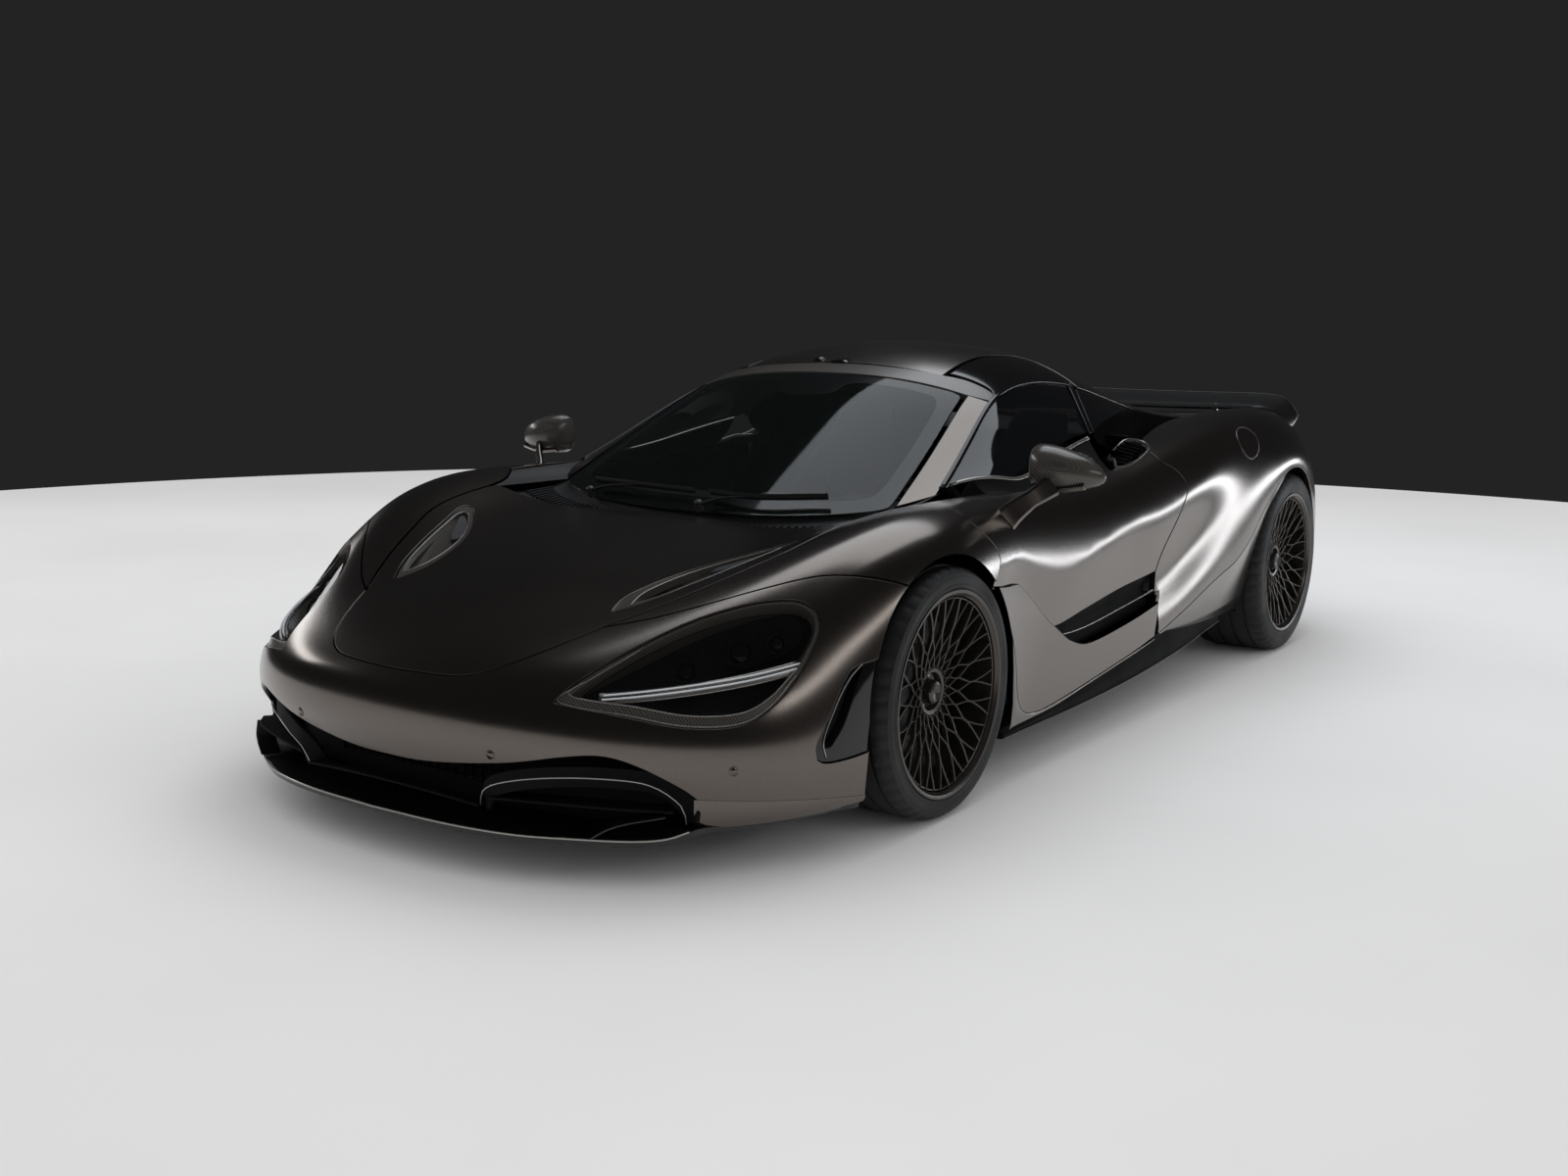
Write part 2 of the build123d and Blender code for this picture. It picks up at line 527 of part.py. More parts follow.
with BuildPart() as mirror_unit:
    for x, y, z, high, deep in ((885, 603, 848, 42, 50), (975, 590, 852, 66, 74), (1062, 600, 858, 34, 44)):
        with BuildSketch(Plane(at(x, y, z), x_dir=(0, 1, 0), z_dir=(1, 0, 0))):
            Ellipse(deep, high)
    loft()
    foot = at(905, 330, 725)
    head = at(960, 545, 800)
    with BuildSketch(Plane(foot, x_dir=(0, 1, 0), z_dir=head - foot)):
        Ellipse(40, 9)
    with BuildSketch(Plane(head, x_dir=(0, 1, 0), z_dir=head - foot)):
        Ellipse(28, 8)
    loft()
    add(door.part, mode=Mode.SUBTRACT)
both_sides(mirror_unit.part, "mirror")

# ---------------------------------------------------------------- cabin roof and glass
with BuildPart() as windscreen:
    add(strip(CABIN, 0.05, 2.97, -2.76, 2.76, GLASS_T + 1, steps=(14, 15)))
save(windscreen, "windscreen")

with BuildPart() as pillars:
    add(strip(CABIN, 0.2, 2.98, 2.8, 3.5, 34.0, steps=(14, 6)))
    mirror(about=Plane.YZ)
save(pillars, "a_pillars")

with BuildPart() as roof:
    add(strip(CABIN, 3.01, 3.4, -3.5, 3.5, 26.0, steps=(6, 17)))
    add(strip(CABIN, 3.36, 6.24, -2.05, 2.05, 26.0, steps=(14, 13)))
save(roof, "roof_panel")

with BuildPart() as quarter_glass:
    add(sheet(CABIN, [(6.1, 3.62), (5.66, 4.5), (5.3, 5.6)], [(7.6, 3.62), (7.35, 4.2)],
              [(6.1, 3.62), (7.6, 3.62)], [(5.3, 5.6), (7.35, 4.2)], GLASS_T, steps=(10, 8)))
    mirror(about=Plane.YZ)
save(quarter_glass, "quarter_glass")

with BuildPart() as rear_window:
    add(strip(CABIN, 6.28, 7.3, -2.02, 2.02, GLASS_T, steps=(8, 11)))
save(rear_window, "rear_window")

with BuildPart() as engine_cover:
    add(strip(CABIN, 7.33, 9.9, -2.02, 2.02, PANEL, steps=(12, 13)))
save(engine_cover, "engine_cover")

with BuildPart() as buttress:
    add(strip(CABIN, 6.28, 9.9, 2.06, 3.58, 40.0, steps=(14, 8)))
    mirror(about=Plane.YZ)
save(buttress, "buttresses")

# ---------------------------------------------------------------- rear of the body
with BuildPart() as quarter:
    add(strip(BODY, 17.8, 28, 3.0, 8, PANEL, steps=(28, 16)))
    add(door_prism(SHUT / 2), mode=Mode.SUBTRACT)
    cabin = smooth([(800, 1300), (800, 1660), (745, 1830), (668, 1960), (625, 2080), (600, 2200)])
    add(plate(plan(cabin + [(100, 2200), (100, 1300)]), Plane.XY, 1200), mode=Mode.SUBTRACT)
    add(ring(0, HALF + 30, 0, TYRE_R_R + ARCH_LIP_R, AXLE_R, TYRE_R_R), mode=Mode.SUBTRACT)
pair(quarter.part, "rear_quarters")

WING_AXIS = (3252, 893)
WING_EYE = 430.0            # hinge eyes, off the centreline
with BuildPart() as deck:
    add(strip(BODY, 24.75, 27.9, -2.9, 2.9, 16.0, steps=(10, 13)))
    for sign in (1, -1):
        for x in (sign * WING_EYE - 14, sign * WING_EYE + 14):
            add(block((x - 4, WING_AXIS[0] - 13, 866), (x + 4, WING_AXIS[0] + 13, WING_AXIS[1] + 9)))
        add(pin(sign * WING_EYE - 18, sign * WING_EYE + 18, 0, HINGE_R, *WING_AXIS))
save(deck, "rear_deck")

with BuildPart() as ducts:
    add(strip(BODY, 19.4, 23.4, 3.25, 3.9, 6.0, sink=45.0, steps=(12, 6)))
    mirror(about=Plane.YZ)
save(ducts, "intake_ducts")

# Control net of the tail's panel: columns from its top to its foot, rows from the centreline.
TAIL = [
    [(0, 3440, 800), (300, 3435, 800), (560, 3415, 800), (700, 3385, 780), (784, 3322, 745)],
    [(0, 3455, 700), (300, 3450, 700), (580, 3425, 705), (750, 3380, 700), (845, 3290, 660)],
    [(0, 3465, 580), (300, 3460, 580), (600, 3430, 580), (790, 3370, 570), (876, 3250, 540)],
    [(0, 3460, 470), (300, 3455, 470), (600, 3425, 465), (800, 3350, 450), (892, 3212, 430)],
    [(0, 3430, 380), (300, 3425, 380), (600, 3395, 370), (800, 3320, 350), (896, 3196, 310)],
]
with BuildPart() as rear_bumper:
    add(strip(TAIL, 0.0, 4.0, -4.0, 4.0, 26.0, steps=(12, 21)))
    for sign in (1, -1):
        add(quarter.part if sign > 0 else mirror(quarter.part, about=Plane.YZ, mode=Mode.PRIVATE),
            mode=Mode.SUBTRACT)
    for x in (PLATE_HOLES / 2, -PLATE_HOLES / 2):
        add(Pos(x, at(0, 3440, 0).Y, PLATE_Z) * Cylinder(3, 200, rotation=(90, 0, 0), mode=Mode.PRIVATE),
            mode=Mode.SUBTRACT)
    for x in (TAILPIPE_X, -TAILPIPE_X):
        add(rod((x, 3300, 655), (x, 3520, 655), TAILPIPE_R + SHUT), mode=Mode.SUBTRACT)
save(rear_bumper, "rear_bumper")

with BuildPart() as pipes:
    for x in (TAILPIPE_X, -TAILPIPE_X):
        add(rod((x, 3180, 655), (x, 3480, 655), TAILPIPE_R))
        add(rod((x, 3180, 655), (x, 3480, 655), TAILPIPE_R - 3), mode=Mode.SUBTRACT)
save(pipes, "tailpipes")

with BuildPart() as lamps:
    add(strip(TAIL, 0.3, 0.55, 1.5, 3.9, 8.5, sink=-9.0, steps=(3, 14)))
    mirror(about=Plane.YZ)
save(lamps, "tail_lamps")

with BuildPart() as diffuser:
    tray = profile([(3060, 128), (3400, 270), (3400, 284), (3060, 142)])
    add(plate(tray, Plane.YZ.offset(-760), 1520))
    fin = profile([(3100, 125), (3400, 190), (3400, 276), (3100, 152)])
    for x in (-700, -420, -160, 148, 408, 688):
        add(plate(fin, Plane.YZ.offset(x), 12))
save(diffuser, "diffuser")

with BuildPart() as wing:
    half_sections = ((0, 3223, 925, WING_CHORD + 15), (520, 3233, 925, WING_CHORD), (625, 3256, 912, WING_CHORD - 15),
                     (735, 3345, 872, WING_CHORD - 100))
    spans = [(-x, y, z, chord) for x, y, z, chord in reversed(half_sections[1:])] + list(half_sections)
    for x, y, z, chord in spans:
        with BuildSketch(Plane(at(x, y, z), x_dir=(0, 1, 0), z_dir=(1, 0, 0))):
            with BuildLine():
                Spline((0, 0), (chord * 0.3, WING_T * 0.75), (chord * 0.7, WING_T * 1.2), (chord, WING_T * 1.9))
                Line((chord, WING_T * 1.9), (chord, WING_T * 1.9 - 5))
                Spline((chord, WING_T * 1.9 - 5), (chord * 0.6, 0), (chord * 0.2, -WING_T * 0.5), (0, 0))
            make_face()
    loft()
    for x in (WING_EYE, -WING_EYE):
        add(block((x - 8, WING_AXIS[0] - 10, WING_AXIS[1]), (x + 8, WING_AXIS[0] + 10, WING_AXIS[1] + 28)))
        add(pin(x - 8, x + 8, 0, HINGE_R + HINGE_EYE, *WING_AXIS))
        add(pin(x - 9, x + 9, 0, HINGE_R + RUN_FIT, *WING_AXIS), mode=Mode.SUBTRACT)
save(wing, "rear_wing")

# ---------------------------------------------------------------- structure
with BuildPart() as tub:
    add(block((-700, 300, 130), (700, 1900, 158)))
    for sign in (1, -1):
        add(block((sign * 640, 420, 130), (sign * 800, 1880, 300)))
    add(block((-640, 300, 130), (640, 335, 640)))
    for sign in (1, -1):
        add(block((sign * 560, 330, 150), (sign * 660, 440, 700)))
    add(block((-640, 1800, 130), (640, 1840, 860)))
    add(block((-60, 700, 150), (60, 1830, 330)))
save(tub, "monocoque")

with BuildPart() as floor_pan:
    add(block((-555, -555, 112), (555, 3050, 124)))
save(floor_pan, "underfloor")

with BuildPart() as front_frame:
    for sign in (1, -1):
        add(block((sign * 330, -640, 200), (sign * 420, 300, 300)))
        add(block((sign * 330, -190, 150), (sign * 420, 190, 505)))
    add(block((-480, -700, 190), (480, -640, 310)))
    add(rod((-TOW_X, -940, 250), (-TOW_X, -700, 250), 17))
    add(rod((-TOW_X, -940, 250), (-TOW_X, -940 + EYE_DEPTH, 250), EYE_R), mode=Mode.SUBTRACT)
save(front_frame, "front_frame")

with BuildPart() as rear_frame:
    for sign in (1, -1):
        add(block((sign * 335, 1840, 200), (sign * 420, 3000, 270)))
        add(block((sign * 335, 2480, 160), (sign * 420, 2860, 540)))
    add(block((-420, 3000, 190), (420, 3050, 360)))
    add(rod((TOW_X, 3050, 330), (TOW_X, 3400, 330), 17))
    add(rod((TOW_X, 3400 - EYE_DEPTH, 330), (TOW_X, 3400, 330), EYE_R), mode=Mode.SUBTRACT)
save(rear_frame, "rear_frame")

with BuildPart() as pads:
    for x in (-720, 720):
        for y in (500, 1790):
            p = at(x, y, 0)
            add(Pos(p.X, p.Y, 121) * Box(JACK_PAD, JACK_PAD, 18, mode=Mode.PRIVATE))
save(pads, "jack_pads")

with BuildPart() as skirt:
    side = profile([(405, 112), (405, 140), (830, 172), (1160, 200), (1440, 238), (1726, 318), (2084, 415),
                    (2215, 455), (2215, 200), (2100, 112)])
    add(plate(side, Plane.YZ.offset(at(806, 0, 0).X), 96))
    mirror(about=Plane.YZ)
save(skirt, "side_skirts")

with BuildPart() as engine:
    add(block((-330, 1900, 180), (330, 2560, 760)))
save(engine, "engine_block")

with BuildPart() as dash:
    add(block((-555, 335, 560), (555, 640, 720)))
    fillet(dash.edges().filter_by(Axis.X).group_by(Axis.Z)[-1], 40)
save(dash, "dashboard")

with BuildPart() as seats:
    for x in (360, -360):
        add(block((x - SEAT_W / 2, 950, 158), (x + SEAT_W / 2, 1440, 330)))
        back = profile([(1400, 300), (1500, 300), (1740, 900), (1700, 960), (1640, 940)])
        add(plate(back, Plane.YZ.offset(at(x, 0, 0).X - SEAT_W / 2), SEAT_W))
save(seats, "seats")

with BuildPart() as steering_wheel:
    hub = at(360, 860, 640)
    with BuildSketch(Plane(hub, x_dir=(1, 0, 0), z_dir=(0, 0.92, 0.39))):
        Circle(WHEEL_RIM_R)
        Circle(WHEEL_RIM_R - 30, mode=Mode.SUBTRACT)
        Rectangle(2 * WHEEL_RIM_R - 20, 40)
        Circle(55)
    extrude(amount=26)
save(steering_wheel, "steering_wheel")

with BuildPart() as column:
    with BuildSketch(Plane(hub, x_dir=(1, 0, 0), z_dir=(0, -0.92, -0.39))):
        Circle(30)
    extrude(amount=260)
    add(dash.part, mode=Mode.SUBTRACT)
save(column, "steering_column")

# ---------------------------------------------------------------- wheels, hubs and brakes


def tyre(width, r_out, x_mid, y, z):
    half = width / 2
    with BuildPart(mode=Mode.PRIVATE) as made:
        with BuildSketch(Plane((x_mid, y, z), x_dir=(1, 0, 0), z_dir=(0, -1, 0))):
            with BuildLine():
                Polyline((-half + 40, r_out), (half - 40, r_out))
                ThreePointArc((half - 40, r_out), (half - 10, r_out - 11), (half, r_out - 34))
                Line((half, r_out - 34), (half - 8, RIM_LIP_R + 2))
                Line((half - 8, RIM_LIP_R + 2), (half - 14, RIM_SEAT_R))
                Line((half - 14, RIM_SEAT_R), (14 - half, RIM_SEAT_R))
                Line((14 - half, RIM_SEAT_R), (8 - half, RIM_LIP_R + 2))
                Line((8 - half, RIM_LIP_R + 2), (-half, r_out - 34))
                ThreePointArc((-half, r_out - 34), (10 - half, r_out - 11), (-half + 40, r_out))
            make_face()
        revolve(axis=Axis((x_mid, y, z), (1, 0, 0)))
    return made.part


def rim(width, x_mid, y, z):
    half = width / 2
    face = half - 42
    with BuildPart(mode=Mode.PRIVATE) as made:
        add(ring(x_mid - half + 6, x_mid + half - 6, RIM_SEAT_R - RIM_WALL, RIM_SEAT_R - 0.5, y, z))
        add(ring(x_mid + half - 8, x_mid + half - 1, RIM_SEAT_R - RIM_WALL, RIM_LIP_R, y, z))
        add(ring(x_mid + face - 40, x_mid + face, STUB_R + RUN_FIT, 78, y, z))
        spoke = Pos(x_mid + face - 12, y, z + (RIM_SEAT_R + 64) / 2) * Box(16, 22, RIM_SEAT_R - 66, mode=Mode.PRIVATE)
        for k in range(SPOKES):
            add(spoke.rotate(Axis((x_mid, y, z), (1, 0, 0)), 360 / SPOKES * k))
    return made.part


def disc(x_face, y, z):
    with BuildPart(mode=Mode.PRIVATE) as made:
        add(ring(x_face - DISC_T, x_face, DISC_R - 77, DISC_R, y, z))
        add(ring(x_face - DISC_T, x_face + 26, STUB_R + RUN_FIT, DISC_R - 75, y, z))
    return made.part


def caliper(x_face, y, z, angle):
    """Brake caliper over the disc's edge."""
    with BuildPart(mode=Mode.PRIVATE) as made:
        body = Pos(x_face - DISC_T / 2, y, z + DISC_R - 10) * Box(DISC_T + 62, 230, 74, mode=Mode.PRIVATE)
        add(body)
        add(ring(x_face - DISC_T - 60, x_face + 60, RIM_SEAT_R - RIM_WALL - CALIPER_GAP, 600, y, z), mode=Mode.SUBTRACT)
        add(ring(x_face - DISC_T - 6, x_face + 6, 0, DISC_R + 6, y, z), mode=Mode.SUBTRACT)
    return made.part.rotate(Axis((0, y, z), (1, 0, 0)), angle)


FRONT = (TRACK_F, AXLE_F, TYRE_R_F)
REAR = (TRACK_R, AXLE_R, TYRE_R_R)
for name, (x, y, z), width, r_out in (("front", FRONT, TYRE_W_F, TYRE_R_F), ("rear", REAR, TYRE_W_R, TYRE_R_R)):
    disc_face = x + width / 2 - 42 - 40 - 26 - 1
    both_sides(tyre(width, r_out, x, y, z), f"tyre_{name}")
    both_sides(rim(width, x, y, z), f"rim_{name}")
    both_sides(disc(disc_face, y, z), f"brake_disc_{name}")
    back = disc_face - DISC_T - 6
    front = name == "front"
    kingpin = x - KINGPIN_IN if front else back - 18
    with BuildPart() as upright:
        add(ring(back - 30, back, 0, 70, y, z))
        add(ring(back, x + width / 2 - 50, 0, STUB_R, y, z))
        add(caliper(disc_face, y, z, -90 if front else 90))
        add(Pos(back - 15, y + (95 if front else -95), z) * Box(24, 150, 90, mode=Mode.PRIVATE))
        add(Pos(back - 15, y, z) * Box(24, 60, 2 * ARM_RISE, mode=Mode.PRIVATE))
        if front:
            add(Pos(kingpin, y, z) * Cylinder(PIN_R, 2 * ARM_RISE + 30, mode=Mode.PRIVATE))
    arm_tops = (z + ARM_RISE + 2, z - ARM_RISE - 2 - ARM_T)
    with BuildPart() as arms:
        for low in arm_tops:
            with BuildSketch(Plane.XY.offset(low)):
                inner = at(420, 0, 0).X
                Polygon((inner, y - 170), (inner + 30, y - 170), (kingpin, y - 22), (kingpin, y + 22),
                        (inner + 30, y + 170), (inner, y + 170), (inner, y + 140), (kingpin - 60, y),
                        (inner, y - 140), align=None)
                with Locations((kingpin, y)):
                    Circle(EYE_OUT)
                    if front:
                        Circle(PIN_R + RUN_FIT, mode=Mode.SUBTRACT)
            extrude(amount=ARM_T)
        if not front:
            add(Pos(kingpin, y, z) * Box(24, 44, 2 * ARM_RISE + 2 * ARM_T, mode=Mode.PRIVATE))
            add(upright.part)
        mirror(about=Plane.YZ)
    if front:
        both_sides(upright.part, "knuckle_front")
        save(arms, "front_wishbones")
    else:
        save(arms, "rear_suspension")
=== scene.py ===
import bmesh
import bpy
import numpy as np
from math import cos, pi, radians, sin
from mathutils import Matrix, Vector
from mathutils.geometry import delaunay_2d_cdt


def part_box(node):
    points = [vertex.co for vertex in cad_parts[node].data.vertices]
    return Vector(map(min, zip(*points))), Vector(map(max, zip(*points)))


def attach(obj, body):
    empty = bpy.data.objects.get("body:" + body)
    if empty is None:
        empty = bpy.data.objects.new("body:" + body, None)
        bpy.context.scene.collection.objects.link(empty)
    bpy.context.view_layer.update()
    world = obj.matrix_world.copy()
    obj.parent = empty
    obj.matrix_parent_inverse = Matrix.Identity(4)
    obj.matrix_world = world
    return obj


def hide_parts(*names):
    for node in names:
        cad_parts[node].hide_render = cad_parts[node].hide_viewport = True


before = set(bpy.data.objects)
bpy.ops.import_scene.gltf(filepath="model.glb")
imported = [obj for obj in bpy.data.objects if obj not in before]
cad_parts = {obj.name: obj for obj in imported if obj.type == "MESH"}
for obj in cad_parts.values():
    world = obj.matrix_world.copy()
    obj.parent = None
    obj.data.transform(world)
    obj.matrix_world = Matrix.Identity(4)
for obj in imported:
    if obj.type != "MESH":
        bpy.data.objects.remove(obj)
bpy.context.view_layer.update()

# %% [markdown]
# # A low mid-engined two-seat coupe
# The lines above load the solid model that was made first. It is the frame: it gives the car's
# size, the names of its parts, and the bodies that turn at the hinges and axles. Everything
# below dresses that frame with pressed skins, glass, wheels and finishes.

MM = 0.001
NOSE_AXLE = -1.22            # the front axle, from the middle of the car's length
FRONT_HUB = (0.837, -1.22, 0.325)
REAR_HUB = (0.815, 1.45, 0.344)

# %% [markdown]
# ## Colours and finishes
# A painted car looks right when each finish starts from the real layer. One function turns a
# written sRGB colour to the linear light that Blender mixes, and one adds a node, sets it and
# links it. All finishes below use just these two.


# %% Colour and node helpers
def linear(code):
    """Linear colour of an sRGB hex value."""
    parts = [int(code[i:i + 2], 16) / 255 for i in (1, 3, 5)]
    return tuple(c / 12.92 if c <= 0.04045 else ((c + 0.055) / 1.055) ** 2.4 for c in parts) + (1.0,)


def add(material, kind, settings=None, **inputs):
    """Add a node; inputs are values or other nodes' outputs, named with _ for a space."""
    made = material.node_tree.nodes.new("ShaderNode" + kind)
    for key, value in (settings or {}).items():
        setattr(made, key, value)
    for key, value in inputs.items():
        wire(made.inputs[int(key[1:]) if key[1:].isdigit() else key.replace("_", " ")], value)
    return made


def wire(socket, value):
    """Link another node's output to a socket, or set its value."""
    if isinstance(value, bpy.types.NodeSocket):
        socket.id_data.links.new(value, socket)
    else:
        socket.default_value = value


def finish(name, colour, roughness, metallic=0.0, **more):
    """New material with one Principled shader; returns the material and the shader."""
    material = bpy.data.materials.new(name)
    material.use_nodes = True
    material.node_tree.nodes.clear()
    shader = add(material, "BsdfPrincipled", Base_Color=linear(colour), Roughness=roughness,
                 Metallic=metallic, **more)
    add(material, "OutputMaterial", Surface=shader.outputs[0])
    return material, shader


print("white is", linear("#ffffff"))

# %% [markdown]
# ### Satin paint
# The body wears a dark warm-grey base coat with fine aluminium flakes under a satin clear coat.
# The flakes make it partly metallic, so it takes the tone of the floor on its sides and goes
# nearly black on top. The flake is far too fine to show, so it is drawn as 1.25 mm cells that
# only shift the tone a little.

# %% Satin paint
PAINT = "#69625c"
satin_paint, shader = finish("satin_flake_paint", PAINT, 0.2, 0.97, Coat_Weight=0.4, Coat_Roughness=0.18)
place = add(satin_paint, "TexCoord").outputs["Object"]
flake = add(satin_paint, "TexVoronoi", Vector=place, Scale=1 / (1.25 * MM))
tone = add(satin_paint, "MapRange", Value=flake.outputs["Color"], To_Min=0.86, To_Max=1.14)
tinted = add(satin_paint, "VectorMath", {"operation": "MULTIPLY"}, i0=linear(PAINT)[:3], i1=tone.outputs[0])
wire(shader.inputs["Base Color"], tinted.outputs[0])
slow = add(satin_paint, "TexNoise", Vector=place, Scale=3.0, Detail=5.0)
rough = add(satin_paint, "MapRange", Value=slow.outputs["Fac"], From_Min=0.3, From_Max=0.7,
            To_Min=0.18, To_Max=0.23)
wire(shader.inputs["Roughness"], rough.outputs[0])
print("paint:", satin_paint.name)

# %% [markdown]
# ### Carbon fibre
# The mirrors, vent frames, splitter and wing are woven carbon in satin lacquer. A 2/2 twill
# passes each tow over two and under two, one step on in each row, which draws diagonals. Its
# tows are a little under 3 mm wide.


# %% Carbon fibre
def twill(material, first, second, tow):
    """Where the warp is on top, for two coordinates and a tow's width in metres."""
    steps = []
    for axis in (first, second):
        tows = add(material, "Math", {"operation": "DIVIDE"}, i0=axis, i1=tow)
        steps.append(add(material, "Math", {"operation": "FLOOR"}, i0=tows.outputs[0]).outputs[0])
    both = add(material, "Math", {"operation": "ADD"}, i0=steps[0], i1=steps[1])
    step = add(material, "Math", {"operation": "FLOORED_MODULO"}, i0=both.outputs[0], i1=4.0)
    return add(material, "Math", {"operation": "LESS_THAN"}, i0=step.outputs[0], i1=1.5).outputs[0]


def carbon_finish(name, dark, light, roughness, tow):
    """Lacquered twill of two tones, with tows of one width."""
    material, shader = finish(name, dark, roughness, 0.35, Coat_Weight=0.5, Coat_Roughness=0.22)
    axis = add(material, "SeparateXYZ", Vector=add(material, "TexCoord").outputs["Object"])
    across = add(material, "Math", {"operation": "ADD"}, i0=axis.outputs[0], i1=axis.outputs[2])
    warp = twill(material, across.outputs[0], axis.outputs[1], tow)
    colour = add(material, "Mix", {"data_type": "RGBA"}, i0=warp, i6=linear(dark), i7=linear(light))
    bump = add(material, "Bump", Height=warp, Distance=0.2 * MM, Strength=0.5)
    wire(shader.inputs["Base Color"], colour.outputs[2])
    wire(shader.inputs["Normal"], bump.outputs[0])
    return material


carbon = carbon_finish("satin_lacquered_carbon_twill", "#262523", "#544f49", 0.28, 2.6 * MM)
dark_carbon = carbon_finish("dark_carbon_twill", "#0c0c0c", "#1a1918", 0.42, 3 * MM)
print("twill finishes:", carbon.name, dark_carbon.name)

# %% [markdown]
# ### Plastics, rubber, metals and trim
# Each is a common trade material. All share one recipe: a colour, a fine bump whose grain and
# height are given in millimetres, and on most a roughness that drifts a little over the part.
# Grain under a millimetre wouldn't show, so it is drawn about one millimetre wide. The colours are
# dark but never pure black, since even soot returns a few percent of the light.


# %% Plain finishes
def plain(name, colour, roughness, metallic, grain, height, spread=0.0, **more):
    """Finish with a bump of a grain and height in millimetres and some spread in roughness."""
    material, shader = finish(name, colour, roughness, metallic, **more)
    place = add(material, "TexCoord").outputs["Object"]
    noise = add(material, "TexNoise", Vector=place, Scale=1 / (grain * MM), Detail=3.0)
    bump = add(material, "Bump", Height=noise.outputs["Fac"], Distance=height * MM, Strength=1.0)
    wire(shader.inputs["Normal"], bump.outputs[0])
    if spread:
        slow = add(material, "TexNoise", Vector=place, Scale=9.0, Detail=4.0)
        rough = add(material, "MapRange", Value=slow.outputs["Fac"], From_Min=0.3, From_Max=0.7,
                    To_Min=roughness - spread, To_Max=roughness + spread)
        wire(shader.inputs["Roughness"], rough.outputs[0])
    return material


# Acrylic moulded in a polished tool: a deep black mirror
gloss_black = plain("piano_black_acrylic", "#0b0b0c", 0.08, 0, 20, 0.02)
# ABS moulded in an etched tool: an even leathery grain that kills reflections
black_abs = plain("grained_black_abs", "#121213", 0.55, 0, 1.2, 0.2, 0.06)
# Pressed felt and bare plastic deep in the ducts: darkest of all, almost no sheen
liner_black = plain("matte_black_liner", "#0a0a0b", 0.75, 0, 2, 0.3, 0.05, Specular_IOR_Level=0.18)
# Ceramic paint fired onto the glass: flat black seen through a gloss
frit_black = plain("fired_black_frit", "#0a0a0b", 0.2, 0, 4, 0.02, 0.03)
# Moulded tyre rubber: grey bloom over black
rubber = plain("tyre_rubber", "#141415", 0.62, 0, 3, 0.3, 0.08)
# Satin paint over forged aluminium: warm dark metal
wheel_paint = plain("satin_black_wheel_paint", "#54504c", 0.3, 0.9, 1, 0.04, 0.04)
# Anodised aluminium trim: a soft bright line. The same finish paints highlights along edges of carbon and
# painted parts.
bright_edge = plain("aluminium_trim_and_painted_highlight", "#9d9a96", 0.24, 0.85, 0.8, 0.03, 0.05)
# Titanium coloured by the exhaust's heat: brownish metal
titanium = plain("heat_tinted_titanium", "#6e655c", 0.28, 1, 1, 0.04, 0.06)
# Turned cast iron: dull grey with a fine cut
disc_iron = plain("turned_cast_iron", "#4a4846", 0.38, 0.9, 1.5, 0.1, 0.06)
# Sand-cast aluminium: pale and rough. The same finish paints a highlight inside each bonnet vent.
alloy_and_painted_highlight = plain("cast_aluminium_and_painted_highlight", "#5b5b5c", 0.5, 0.9, 1.5, 0.2, 0.06)
# Baked enamel: smooth and hard
caliper_paint = plain("enamelled_caliper", "#141414", 0.35, 0, 3, 0.05, 0.05)
# Brushed synthetic suede: soft nap with a pale edge
suede = plain("synthetic_suede", "#19191a", 0.9, 0, 1.5, 0.4, 0.05, Sheen_Weight=0.4)
# Coated leather: pebbled, half gloss
leather = plain("fine_grain_leather", "#1d1c1c", 0.5, 0, 2.5, 0.4, 0.07)
# Float glass silvered behind: a clear mirror with a faint waviness
mirror_glass = plain("silvered_mirror_glass", "#c8cccf", 0.03, 1, 200, 0.01)
# Frosted acrylic that carries light: pale, with a faint glow of its own
light_guide = plain("frosted_light_guide", "#b4b6b9", 0.22, 0, 4, 0.2,
                    Emission_Color=linear("#eef2f6"), Emission_Strength=0.06)
# Clear red acrylic over a dark housing
red_lens = plain("red_acrylic_lens", "#6e0606", 0.12, 0, 3, 0.2, Coat_Weight=0.6)
print("made", ", ".join(m.name for m in bpy.data.materials[-6:]))

# %% [markdown]
# ### Glass
# The screens are tinted laminated glass: they pass some light straight through and mirror the
# room at a glance. Thin sheet needs no bending of light, so a polished shader that is partly
# see-through stands for it, which keeps it quick and exports well.


# %% Tinted glass
def tinted_glass(name, tint, strength):
    """Polished sheet that lets through what its strength leaves over."""
    material, shader = finish(name, tint, 0.04, Alpha=strength, IOR=1.52)
    place = add(material, "TexCoord").outputs["Object"]
    ripple = add(material, "TexNoise", Vector=place, Scale=6.0, Detail=1.0)
    bump = add(material, "Bump", Height=ripple.outputs["Fac"], Distance=0.2 * MM, Strength=0.02)
    wire(shader.inputs["Normal"], bump.outputs[0])
    return material


screen_glass = tinted_glass("laminated_windscreen", "#0e1211", 0.55)
side_glass = tinted_glass("privacy_tinted_glass", "#090a0b", 0.86)
lamp_lens = tinted_glass("smoked_polycarbonate", "#0a0a0b", 0.5)
print(len(bpy.data.materials), "finishes")

# %% [markdown]
# ## The body's surface
# A real body side is one smooth sculpted surface that is cut into panels afterwards. It is the
# same here: a net of control points, in millimetres from the middle of the front axle, carries a
# cubic B-spline skin. Every panel is a piece cut out of that skin, so neighbours line up.

